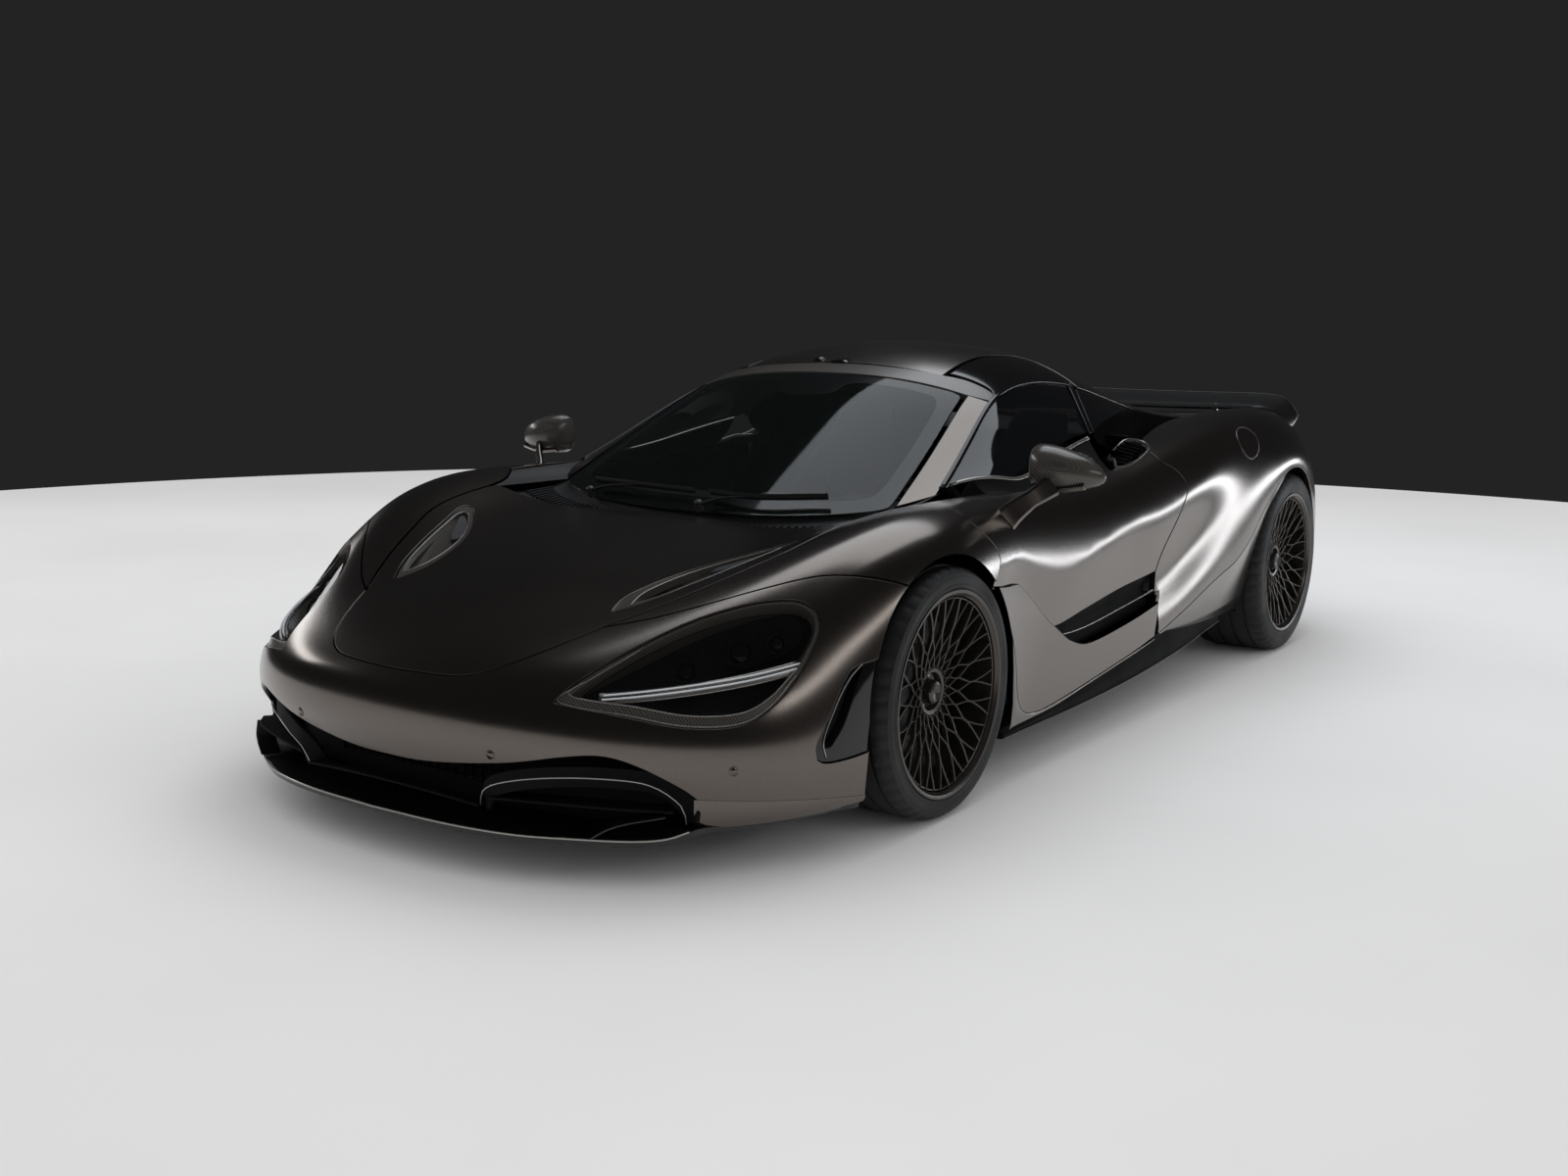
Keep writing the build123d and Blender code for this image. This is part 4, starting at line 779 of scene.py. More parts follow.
for share, height in ((0.985, 0.4), (0.96, 0.24), (0.93, 0.222), (0.9, 0.218), (0.5, 0.218), (0.05, 0.218)):
    rings.append(well * share + TUB_MIDDLE + (0, 0, height))
tub = Shape()
sheet(tub, rings[:9], wrap=True)
sheet(tub, rings[8:], wrap=True, slot=1)
make(tub, "luggage_tub", "chassis", "black_plastic", [black_abs, suede], sharp=50)
print("tub", len(tub.points), "points")

# %% [markdown]
# ### Front bumper
# The bumper skin wraps the whole nose. It carries the eye-socket lamps, and its corners are cut
# away for a black insert ahead of each wheel.

# %% Front bumper
FRONT_FOOT = [(0.0, 4.03), (0.0, 5.2), (0.0, 6.25), (0.0, 7.2), (0.0, 8.0)]
bumper = Shape()
panel(bumper, body_skin, halves([
    BUMPER_LIP, FRONT_FOOT, arch(0.0, 1.43, count=12)[:-1] + [INSERT[0]], INSERT[:3], INSERT[2:],
    arch(4.24, 6.69, count=20), SHOULDER[::-1], BONNET_FRONT[::-1]]),
    holes=[[LAMP_HOLE], [flipped(LAMP_HOLE)]], gap=0.0013, depth=0.02, back=1)
make(bumper, "front_bumper_skin", "chassis", "satin_paint", [satin_paint, black_abs], ["front_bumper"])
print("bumper", len(bumper.points), "points")

# %% [markdown]
# ### Front wings
# A wing runs from the lamp over the wheel to the door. Its opening edge turns in like a pressed
# flange. It shares the bonnet's, bumper's and door's lines, so all gaps are even.

# %% Front wings
WING_INNER = [(8.85, 3.74), (9.5, 3.9), (10.15, 4.35)]
wings = Shape()
panel(wings, body_skin, [BONNET_SIDE, WING_INNER, DOOR_FRONT, DOOR_NOSE, arch(11.7, 6.69),
                         SHOULDER[::-1]], depth=0.02, back=1)
wings.both()
make(wings, "front_wing_skins", "chassis", "satin_paint", [satin_paint, black_abs], ["front_wings"])
print("wings", len(wings.points), "points")

# %% [markdown]
# ### Doors
# The door skin is hollowed along its middle and tucks in behind a lower blade that starts at the
# front wheel. Between the two lies a black air channel that grows towards the rear wheel. The
# hollow is a depth that varies over the skin, so the quarter panel behind can share it.


# %% Doors
HOLLOW = [(11.7, 8.0), (12.25, 7.74), (12.9, 7.38), (13.5, 7.25), (14.28, 7.22), (15.5, 7.2), (16.26, 7.12),
          (17.32, 7.06), (18.32, 7.1), (19.5, 6.9), (20.8, 6.6), (22.4, 6.3)]
CREASE = [(17.6, 8.0), (18.52, 7.97), (19.27, 7.88), (20.36, 7.75), (21.0, 7.82), (22.4, 8.0)]
DOOR_LOW = [(11.7, 7.99), (12.25, 7.72), (12.9, 7.36), (13.3, 7.27), (14.28, 7.22), (15.0, 7.235),
            (15.5, 7.2), (16.26, 7.1), (17.32, 7.02), (18.32, 7.02)]
hollow_rows, crease_rows = line(HOLLOW, 0.05), line(CREASE, 0.05)


def row_at(u, rows):
    """Row of a line drawn on the skin, at given stations."""
    return np.interp(u, [p[0] for p in rows], [p[1] for p in rows])


def hollow(uv):
    """One valley runs down the door, above its blade, and over the quarter panel's front."""
    u, v = uv[:, 0], uv[:, 1]
    middle, crease = row_at(u, hollow_rows), row_at(u, crease_rows)
    deep = 0.010 + 0.016 * smooth_step((u - 14.5) / 3.8) - 0.026 * smooth_step((u - 18.9) / 3.3)
    above = smooth_step(1 - (middle - v) / (0.75 + 0.4 * smooth_step((u - 15) / 3)))
    below = np.where(u > 18.4, 1 - smooth_step((v - middle) / np.maximum(crease - middle, 0.2)), 1.0)
    return deep * np.where(v < middle, above, below)


door_shape = Shape()
panel(door_shape, sunk(body_skin, hollow),
      [DOOR_FRONT, DOOR_NOSE[:-1] + [(11.72, 7.97)], [(11.72, 7.97)] + DOOR_LOW[1:], DOOR_REAR[::-1],
       [(18.55, 4.35), (14, 4.35), (10.15, 4.35)]], gap=0.0022, step=0.02, back=1)
panel(door_shape, body_skin,
      [BLADE_TOP, [(18.36, 7.45), (18.4, 7.7), (18.42, 7.97)], [(18.42, 7.97), (17.8, 8.0), (16.0, 8.0)],
       arch(16.0, 11.7)[1:-4] + [(11.86, 7.8)]], gap=0.0012, edge=0.003, depth=0.03, step=0.02, back=1)
# The blade's foot runs down to the sill and turns under it
foot_top = body_skin([(u, 7.995) for u in [*np.linspace(13.3, 15.9, 18), *np.linspace(16, 18.42, 16)]])
foot_y = foot_top[:, 1] - NOSE_AXLE
foot_low = np.stack([foot_top[:, 0], np.maximum(foot_y, 0.370) + NOSE_AXLE,
                     np.interp(foot_y, [0.3, 0.663, 1.24, 1.41], [0.150, 0.163, 0.224, 0.250])], 1)
sheet(door_shape, [mix(foot_top, foot_low, f) + (out, 0, 0) for f, out in (
    (0, 0.0), (0.3, 0.002), (0.7, 0.0), (0.93, -0.006), (1, -0.012), (1, -0.05))], flip=True)
print("door panels", len(door_shape.points), "points")

# %% [markdown]
# ### Air channels in the doors
# The channel's floor lies behind the door's lower edge and the blade's top edge, and deepens
# towards the rear. A thin bright line runs along it.


# %% Door channels
def channel_depth(uv):
    """How far the door is hollowed at a place on the skin."""
    top, low = row_at(uv[:, 0], DOOR_LOW), row_at(uv[:, 0], BLADE_TOP)
    t = (uv[:, 1] - top) / np.maximum(low - top, 0.05)
    return hollow(uv) + 0.014 + 0.02 * np.sin(np.clip(t, 0, 1) * pi) * smooth_step((uv[:, 0] - 14.9) / 1.2)


channel = Shape()
panel(channel, sunk(body_skin, channel_depth),
      [[(11.9, 7.5), (12.9, 6.98), (14.2, 6.98), (15.5, 7.0), (16.26, 6.92), (17.32, 6.86), (18.3, 6.88)],
       [(18.3, 6.88), (18.36, 7.6)], [(18.36, 7.6), (17.53, 7.62), (16.5, 7.62), (15.6, 7.5), (14.28, 7.4),
                                      (13.2, 7.45), (12.3, 7.86), (11.95, 7.9)], [(11.95, 7.9), (11.9, 7.5)]],
      gap=0.002, depth=0.004, step=0.02)
trace(channel, body_skin, [(15.3, 7.3), (16.3, 7.3), (17.4, 7.26), (18.2, 7.24)], 0.012, bar(0.004, 0.006),
      0.03, slot=1)
print("door channel", len(channel.points), "points")

# %% [markdown]
# ### Rear quarters
# The haunch swells over the rear wheel and feeds the radiators: below the door's channel the
# panel is hollowed, and a crease from the channel to the arch sheds the air over the wheel. A
# round flap on the left haunch hides the filler.

# %% Rear quarters
QUARTER_TOP = [(18.55, 4.35), (18.9, 3.75), (19.6, 3.45), (20.6, 3.15), (22.0, 2.96), (24.5, 2.96),
               (27.9, 2.96)]
REAR_EDGE = [(27.9, 2.96), (28, 4), (28, 5), (28, 6), (28, 7), (28, 8)]
QUARTER_LOW = [(18.52, 7.97), (19.27, 7.88), (20.36, 7.75), (21.0, 7.82), (21.6, 7.97)]
MEET = next(u for u in np.arange(21.6, 24, 0.02) if foot(u, REAR_HUB, ARCH_R)[1] < 8)    # crease meets arch
quarter = Shape()
panel(quarter, sunk(body_skin, hollow),
      [QUARTER_TOP[::-1], DOOR_REAR, [(18.32, 7.02), (18.4, 7.4), (18.46, 7.7), (18.52, 7.97)], QUARTER_LOW,
       [QUARTER_LOW[-1]] + arch(21.7, 28, REAR_HUB, ARCH_R, 80), REAR_EDGE[::-1]],
      gap=0.0022, depth=0.02, step=0.014, back=1)
# Below the crease the side falls to the sill, stopping short of the tyre
crease = body_skin([*line(QUARTER_LOW, 0.1), *[(u, 8.0) for u in np.linspace(21.7, MEET, 8)]])
share = np.linspace(0, 1, len(crease))[:, None]
below = mix(at(940, 1430, 258), at(902, 2322, 215), share) - np.sin(pi * share) * (0, 0, 0.010)
rows = []
for f in np.linspace(0, 1, 7):
    row = mix(crease, below, f) + (0.004 * sin(pi * f), 0, 0)
    reach = np.hypot(row[:, 1] - REAR_HUB[1], row[:, 2] - REAR_HUB[2])
    row[:, 1] -= np.maximum(ARCH_R + 0.002 - reach, 0)
    rows.append(row)
rows.append(rows[-1] - (0.03, 0, -0.004))
sheet(quarter, rows, flip=True)
for edge_row in (np.array([r[-1] for r in rows]), rows[0]):
    sheet(quarter, [edge_row, edge_row - (0.03, 0, 0)])
quarter.both()
# Filler flap: a dark gap with a bright edge
FLAP, FLAP_R = np.array((21.65, 5.5)), 0.062
turn = 2 * pi * np.arange(48)[:, None] / 48
ring = FLAP_R * np.concatenate([np.cos(turn), np.sin(turn)], 1) / body_skin.scale
for grow, depth, section, slot in ((1, -0.0004, bar(0.0035, 0.001), 1),
                                   (1.03, -0.0008, bar(0.002, 0.0014), 2)):
    sweep(quarter, sunk(body_skin, depth)(FLAP + ring * grow), facing(body_skin, FLAP + ring), section,
          closed=True, slot=slot)
make(quarter, "rear_quarter_skins", "chassis", "satin_paint", [satin_paint, black_abs, bright_edge],
     ["rear_quarters"])
print("quarters", len(quarter.points), "points")

# %% [markdown]
# ## Cabin
# The greenhouse is its own smooth skin. The windscreen is laminated glass with a black fired
# border that hides the glue; the pillars and roof are painted and the roof's leading edge is
# carbon.

# %% Windscreen, pillars and roof
SCREEN = halves([[(0.04, 0), (0.04, 1.2), (0.06, 2.5)], [(0.06, 2.5), (0.1, 2.74), (0.22, 2.78)],
                 [(0.22, 2.78), (1.5, 2.78), (2.7, 2.76)], [(2.7, 2.76), (2.9, 2.72), (2.96, 2.5)],
                 [(2.96, 2.5), (2.98, 1.2), (2.98, 0)]])
CLEAR = [(0.34, 0), (0.34, 1.2), (0.36, 2.1), (0.5, 2.38), (1.2, 2.44), (2.2, 2.42), (2.66, 2.3), (2.76, 1.9),
         (2.78, 1.0), (2.72, 0.62), (2.5, 0.5), (2.42, 0)]
CLEAR += flipped(CLEAR)[-2::-1]
screen, frit, pillars, roof = Shape(), Shape(), Shape(), Shape()
panel(screen, cabin_skin, SCREEN, step=0.04, depth=0.004)
make(screen, "windscreen_glass", "chassis", "tinted_glass", [screen_glass], ["windscreen"])
panel(frit, sunk(cabin_skin, 0.0015), SCREEN, holes=[[CLEAR]], step=0.04, gap=0.003, depth=0.004)
make(frit, "windscreen_border", "chassis", "gloss_black", [frit_black])
panel(pillars, cabin_skin, [[(0.1, 2.84), (1.5, 2.84), (3.0, 2.82)], [(3.0, 2.82), (3.02, 3.1), (3.06, 3.42)],
                            [(3.06, 3.42), (2.0, 3.5), (1.0, 3.62), (0.3, 3.74)], [(0.3, 3.74), (0.1, 2.84)]],
      gap=0.001, edge=0.004, depth=0.02, step=0.03)
pillars.both()
make(pillars, "windscreen_pillars", "chassis", "satin_paint", [satin_paint], ["a_pillars"])
panel(roof, cabin_skin, halves([[(3.34, 0), (3.33, 1.0), (3.32, 2.06)],
                                [(3.32, 2.06), (5, 2.06), (6.24, 2.04)],
                                [(6.24, 2.04), (6.26, 1), (6.27, 0)]]), step=0.04, depth=0.02)
panel(roof, cabin_skin, halves([[(3.0, 0), (3.0, 1.5), (2.98, 2.78)],
                                [(2.98, 2.78), (3.02, 3.1), (3.1, 3.46)],
                                [(3.1, 3.46), (3.36, 3.3), (3.42, 2.6), (3.36, 2.1)],
                                [(3.36, 2.1), (3.31, 1.0), (3.31, 0)]]), step=0.03, depth=0.02, slot=1)
make(roof, "roof_skin", "chassis", "satin_paint", [satin_paint, carbon], ["roof_panel"])
print("screen", len(screen.points), "and roof", len(roof.points), "points")

# %% [markdown]
# ### Side glass and door frames
# The side glass is almost black from outside. A piano-black frame carries it over the roof's
# edge, and it opens with the door. Below it a dark belt closes the gap to the door's shoulder.

# %% Side glass
SILL = [(0.6, 3.92), (1.1, 5.0), (1.5, 5.6), (2.2, 5.72), (3.5, 5.72), (4.9, 5.7)]
HEADER = [(0.5, 3.7), (1.5, 3.55), (2.6, 3.46), (3.4, 3.44), (4.6, 3.5), (5.9, 3.58)]
glass, window_frame = Shape(), Shape()
panel(glass, sunk(cabin_skin, 0.003),
      [[(0.5, 3.78), (1.5, 3.62), (2.6, 3.52), (3.4, 3.5), (4.6, 3.56), (5.74, 3.64)],
       [(5.74, 3.64), (5.4, 4.5), (5.02, 5.56)],
       [(5.02, 5.56), (3.5, 5.52), (2.0, 5.5), (1.2, 5.3), (0.5, 3.78)]],
      step=0.03, depth=0.004)
panel(window_frame, cabin_skin, [[(3.46, 2.12), (4.6, 2.1), (6.0, 2.1)],
                                 [(6.0, 2.1), (6.05, 2.9), (6.04, 3.55)],
                                 [(6.04, 3.55), (4.6, 3.5), (3.5, 3.44), (3.16, 3.42)],
                                 [(3.16, 3.42), (3.42, 3.2), (3.48, 2.7), (3.46, 2.12)]],
      step=0.03, gap=0.002, edge=0.005, depth=0.02)
panel(window_frame, cabin_skin, [[(5.8, 3.6), (5.46, 4.5), (5.08, 5.6)], [(5.08, 5.6), (5.22, 5.6)],
                                 [(5.22, 5.6), (5.6, 4.5), (5.96, 3.6)], [(5.96, 3.6), (5.8, 3.6)]],
      step=0.02, gap=0.001, edge=0.002)
trace(window_frame, cabin_skin, SILL, 0, bar(0.012, 0.008), 0.03, slot=1)
trace(window_frame, cabin_skin, HEADER, 0, bar(0.014, 0.010), 0.03)
# The belt's rows run between points of both edges at the same distance along the car
belt_out = sunk(body_skin, 0.005)([(u, 4.4) for u in np.linspace(10.2, 18.4, 60)])
belt_in = cabin_skin(line(np.array(SILL) * cabin_skin.scale, 0.03) / cabin_skin.scale)
spots = np.linspace(belt_in[3, 1], belt_in[-1, 1], 31)
outer_row, inner_row = (np.stack([np.interp(spots, edge[:, 1], edge[:, c]) for c in range(3)], 1)
                        for edge in (belt_out, belt_in))
sheet(channel, [mix(outer_row, inner_row, f) - (0, 0, 0.012 * sin(pi * f)) for f in np.linspace(0, 1, 5)])
print("side glass", len(glass.points), "points")

# %% [markdown]
# ### Mirrors
# Each mirror is a carbon pod on a flat painted arm that springs from the door's shoulder. The
# pod is lofted through rings that are fuller in front and flat behind, where the glass sits.


# %% Mirrors
def soft(value, power):
    """Signed power: below 1 it squares an ellipse's corners."""
    return abs(value) ** power * (1 if value > 0 else -1)


pod = Shape()
TURN = [2 * pi * k / 28 for k in range(28)]
PODS = ((868, 612, 856, 18, 30), (873, 604, 856, 44, 54), (888, 598, 856, 62, 63), (920, 592, 855, 69, 64),
        (960, 590, 853, 70, 60), (1000, 594, 849, 62, 51), (1036, 600, 844, 48, 40), (1060, 608, 839, 32, 28),
        (1073, 614, 835, 16, 16), (1078, 618, 833, 6, 6))
loft(pod, [ats([(x, y + deep * (0.42 * soft(cos(a), 0.6) if cos(a) > 0 else soft(cos(a), 0.85)),
                 z + high * soft(sin(a), 0.85)) for a in TURN]) for x, y, z, deep, high in PODS])
loft(pod, [ats([(972 + 88 * grow * soft(cos(a), 0.7), y, 852 + 56 * grow * soft(sin(a), 0.7)) for a in TURN])
           for grow, y in ((0.86, 618), (0.86, 622), (0.8, 623))], slot=2)
arm = line(ats([(866, 440, 716), (876, 458, 734), (904, 486, 764), (936, 514, 792), (958, 540, 812)]), 0.02)
sweep(pod, arm, (-0.55, -0.45, 0.75), bar(0.020, 0.056, 0.4), slot=1,
      scale=np.interp(np.linspace(0, 1, len(arm)), [0, 0.5, 1], [1.3, 0.9, 1.1]))
sweep(pod, line(ats([(890, 560, 806), (960, 552, 800), (1040, 566, 812)]), 0.02), (0, 0, 1),
      bar(0.03, 0.02, 0.4), slot=1)
print("mirror", len(pod.points), "points")

# %% [markdown]
# ### Door pieces on their hinges
# Skin, channel, glass, frame and mirror all swing with one door. The right-hand set is the
# mirror image of the left.

# %% Door pieces on their hinges
for side in ("left", "right"):
    body = f"door_{side}"
    for shape, name, slot, materials, nodes, sharp in (
            (door_shape, "door_skin", "satin_paint", [satin_paint, black_abs], [body], 32),
            (channel, "door_channel", "black_plastic", [liner_black, bright_edge], [], 32),
            (glass, "side_window", "tinted_glass", [side_glass], [f"door_glass_{side}"], 32),
            (window_frame, "window_frame", "gloss_black", [gloss_black, bright_edge],
             [f"door_frame_{side}"], 32),
            (pod, "mirror_pod", "carbon", [carbon, satin_paint, mirror_glass], [f"mirror_{side}"], 40)):
        own = shape if side == "left" else shape.mirrored()
        make(own, f"{name}_{side}", body, slot, materials, nodes, sharp)
print("two doors hung")

# %% [markdown]
# ### Behind the doors
# Small quarter lights, the screen over the engine, a louvred cover and two painted buttresses
# close the cabin towards the tail. Each louvre is a slot with a slanted slat below it.

# %% Rear of the cabin
LOUVRES = (7.6, 8.0, 8.4, 8.8, 9.2)
quarter_light, rear_glass, cover, buttress = Shape(), Shape(), Shape(), Shape()
panel(quarter_light, sunk(cabin_skin, 0.003),
      [[(6.02, 3.64), (6.8, 3.66), (7.6, 3.66)], [(7.6, 3.66), (7.35, 4.2)],
       [(7.35, 4.2), (6.4, 5.0), (5.28, 5.6)], [(5.28, 5.6), (5.66, 4.5), (6.02, 3.64)]],
      step=0.03, depth=0.004)
quarter_light.both()
make(quarter_light, "quarter_lights", "chassis", "tinted_glass", [side_glass], ["quarter_glass"])
panel(rear_glass, cabin_skin, halves([[(6.3, 0), (6.29, 1), (6.28, 2.02)], [(6.28, 2.02), (7.3, 2.02)],
                                      [(7.3, 2.02), (7.31, 1), (7.32, 0)]]), step=0.04, depth=0.004)
make(rear_glass, "rear_screen", "chassis", "tinted_glass", [side_glass], ["rear_window"])
panel(cover, cabin_skin, halves([[(7.35, 0), (7.35, 1), (7.34, 2.02)],
                                 [(7.34, 2.02), (8.6, 2.02), (9.9, 2.02)],
                                 [(9.9, 2.02), (9.9, 1), (9.9, 0)]]),
      holes=[halves([[(u, 0), (u, 1.55)], [(u, 1.55), (u + 0.1, 1.62), (u + 0.2, 1.55)],
                     [(u + 0.2, 1.55), (u + 0.2, 0)]]) for u in LOUVRES], step=0.035, edge=0.004, depth=0.02)
for u in LOUVRES:
    row = line(np.array([(u + 0.1, -1.72), (u + 0.1, 0), (u + 0.1, 1.72)]) * cabin_skin.scale, 0.04)
    sweep(cover, sunk(cabin_skin, 0.022)(row / cabin_skin.scale), (0, 0.6, 0.8), bar(0.05, 0.004))
make(cover, "engine_cover_louvred", "chassis", "carbon", [satin_paint], ["engine_cover"])
panel(buttress, cabin_skin, [[(6.28, 2.06), (8, 2.06), (9.9, 2.06)], [(9.9, 2.06), (9.9, 2.8), (9.7, 3.52)],
                             [(9.7, 3.52), (8.6, 3.62), (7.66, 3.62), (6.12, 3.6)],
                             [(6.12, 3.6), (6.12, 2.9), (6.06, 2.1)], [(6.06, 2.1), (6.28, 2.06)]],
      step=0.03, edge=0.005, depth=0.03)
buttress.both()
make(buttress, "buttress_skins", "chassis", "satin_paint", [satin_paint], ["buttresses"])
print("cabin dressed")

# %% [markdown]
# ## Wheels
# A forged wheel with a deep dish: each of twenty forks splits in two at the rim, and towards
# the hub the stems cross into ever smaller diamonds. Every member is a short bar carried along
# the dish's curve, so light catches its cut edges.


# %% Wheel
FORKS = 20
# Inner and outer radius, start and sideways run in parts of a fork's share, width, thickness
MEMBERS = ((0.172, 0.2465, 0, 0.30, 0.0050, 0.013), (0.116, 0.156, 0.5, 0.5, 0.0046, 0.012),
           (0.080, 0.107, 0, 0.5, 0.0036, 0.011), (0.056, 0.075, 0.5, 0.5, 0.0030, 0.010),
           (0.153, 0.176, 0, 0, 0.0066, 0.013), (0.104, 0.119, 0.5, 0, 0.0052, 0.012),
           (0.073, 0.083, 0, 0, 0.0040, 0.011))
# Profiles as (depth behind the rim's outer face, radius)
RIM = ((0.05, 0.246), (0.03, 0.247), (0.022, 0.250), (0.012, 0.2505), (0.006, 0.256), (0.003, 0.2575),
       (0.001, 0.262), (0.0005, 0.2665), (0.003, 0.268), (0.007, 0.266), (0.014, 0.257))
RING = ((0.034, 0.247), (0.016, 0.2475), (0.0145, 0.2455), (0.016, 0.243), (0.034, 0.2425))
CAP = ((0.085, 0.060), (0.062, 0.062), (0.058, 0.059), (0.060, 0.050), (0.076, 0.046), (0.080, 0.036),
       (0.076, 0.031), (0.052, 0.029), (0.048, 0.026), (0.046, 0.020), (0.048, 0.016), (0.052, 0.0))
NUT = ((0.078, 0.006), (0.070, 0.006), (0.069, 0.004), (0.069, 0.0))
BACK_LIP = ((0.012, 0.252), (0.006, 0.266), (0.003, 0.268), (0.001, 0.262), (0.008, 0.248))


def round_hub(hub, x, r, a):
    """Point at a radius and an angle from the top of a wheel."""
    return (hub[0] + x, hub[1] + r * sin(a), hub[2] + r * cos(a))


def spoke(shape, half, hub, inner, outer, width, thick):
    """Bar between two (radius, angle) points of the dish, which is deepest at the hub."""
    steps = max(int(abs(outer[0] - inner[0]) / 0.025), 1)
    path = []
    for f in np.linspace(0, 1, steps + 1):
        r, a = inner[0] + f * (outer[0] - inner[0]), inner[1] + f * (outer[1] - inner[1])
        deep = np.interp(r, [0.04, 0.08, 0.14, 0.2, 0.25], [0.066, 0.060, 0.044, 0.030, 0.020])
        path.append(round_hub(hub, half - deep, r, a))
    sweep(shape, path, (1, 0, 0), bar(width, thick, 0.32), scale=np.linspace(1.0, 1.15, len(path)))


def wheel(hub, half):
    """Rim, twenty forks with their diamonds, and the hub with its cap and nuts."""
    shape, pitch = Shape(), 2 * pi / FORKS
    outer, ring, cap, nut = ([(half - d, r) for d, r in part] for part in (RIM, RING, CAP, NUT))
    turned(shape, [(d - half, r) for d, r in BACK_LIP] + [(-0.02, 0.243)] + outer, hub, 120)
    turned(shape, ring, hub, 120)
    for k in range(FORKS):
        for low, high, start, run, width, thick in MEMBERS:
            for side in (-1, 1) if run else (1,):
                a = (k + start) * pitch
                spoke(shape, half, hub, (low, a), (high, a + side * run * pitch), width, thick)
    turned(shape, cap, hub, 48)
    for k in range(5):
        turned(shape, nut, round_hub(hub, 0, 0.041, 2 * pi * k / 5), 12, 1)
    return shape


print(FORKS, "forks of", len(MEMBERS), "kinds of member")

# %% [markdown]
# ### Tyres
# A tyre is one turned profile. Its walls step in and out for the ribs, four grooves run round
# the tread, and every sixth pair of sections is pulled in at the shoulder for the cross cuts.


# %% Tyres
def tyre(hub, radius, half):
    """Tyre with ribbed walls, four grooves round it and cross cuts in its shoulders."""
    lip, shape = 0.268, Shape()
    wall = radius - lip
    # Depth from the side, radius, and how much of a cross cut reaches there
    profile = [(half - d, r, c) for d, r, c in (
        (0.012, 0.256, 0), (0.006, lip - 0.002, 0), (0.002, lip + 0.004, 0), (0.0015, lip + 0.2 * wall, 0),
        (0.0025, lip + 0.24 * wall, 0), (0.0005, lip + 0.5 * wall, 0), (0.0012, lip + 0.54 * wall, 0),
        (0.004, lip + 0.72 * wall, 0), (0.010, radius - 0.011, 1), (0.022, radius - 0.004, 1),
        (0.036, radius - 0.0015, 1), (0.044, radius - 0.001, 0.4))]
    grooves = [(half * share + x, radius - deep, 0) for share in (0.58, 0.2) for x, deep in (
        (0.0065, 0.0004), (0.0045, 0.007), (-0.0045, 0.007), (-0.0065, 0.0004))]
    profile += [p for p in grooves if p[0] < half - 0.05]
    profile += [(-x, r, c) for x, r, c in reversed(profile)]
    profile = np.array(profile + [(0.02 - half, 0.252, 0), (half - 0.02, 0.252, 0)])
    count, cut, rings = 288, 0.0035, []
    for k in range(count):
        a = 2 * pi * k / count
        r = profile[:, 1] - (cut if k % 6 in (0, 1) else 0) * profile[:, 2]
        rings.append(np.stack([profile[:, 0], r * cos(a), r * sin(a)], 1) + hub)
    return shape.add(rings, grid_faces(count, len(profile), True))


print("tyre radii", 0.325, "and", 0.344, "metres")

# %% [markdown]
# ### Brakes and uprights
# The iron disc is two rings with vanes between, bolted to an alloy bell. A caliper wraps its
# edge and hangs on the upright that carries the axle.


# %% Brakes and uprights
DISC_R = 0.195


def brake(face, hub):
    """Vented disc: two rings with vanes between, and its bell."""
    shape, t, middle = Shape(), 0.034, (0, hub[1], hub[2])
    for a, b in ((face - 0.012, face), (face - t, face - t + 0.012)):
        turned(shape, [(a, 0.118), (a, DISC_R - 0.002), (a + 0.002, DISC_R), (b - 0.002, DISC_R),
                       (b, DISC_R - 0.002), (b, 0.118)], middle, closed=True)
    for k in range(36):
        a = 2 * pi * k / 36
        vane = np.array(round_hub(middle, 0, 0.157, -a))
        block(shape, vane + (face - t + 0.011, -0.003, -0.034), vane + (face - 0.011, 0.003, 0.034), 0.001,
              turn=Matrix.Rotation(a, 3, "X"))
        for r in (0.135, 0.16, 0.182):
            turned(shape, [(face + 0.0002, 0.0045), (face + 0.0012, 0.0040), (face + 0.0012, 0.0032),
                           (face + 0.0002, 0.0028)],
                   round_hub(middle, 0, r, a + r * 3), 10)
    turned(shape, [(face - t, 0.120), (face + 0.002, 0.120), (face + 0.012, 0.112), (face + 0.026, 0.100),
                   (face + 0.026, 0.034), (face - t, 0.034)], middle, slot=1, closed=True)
    return shape


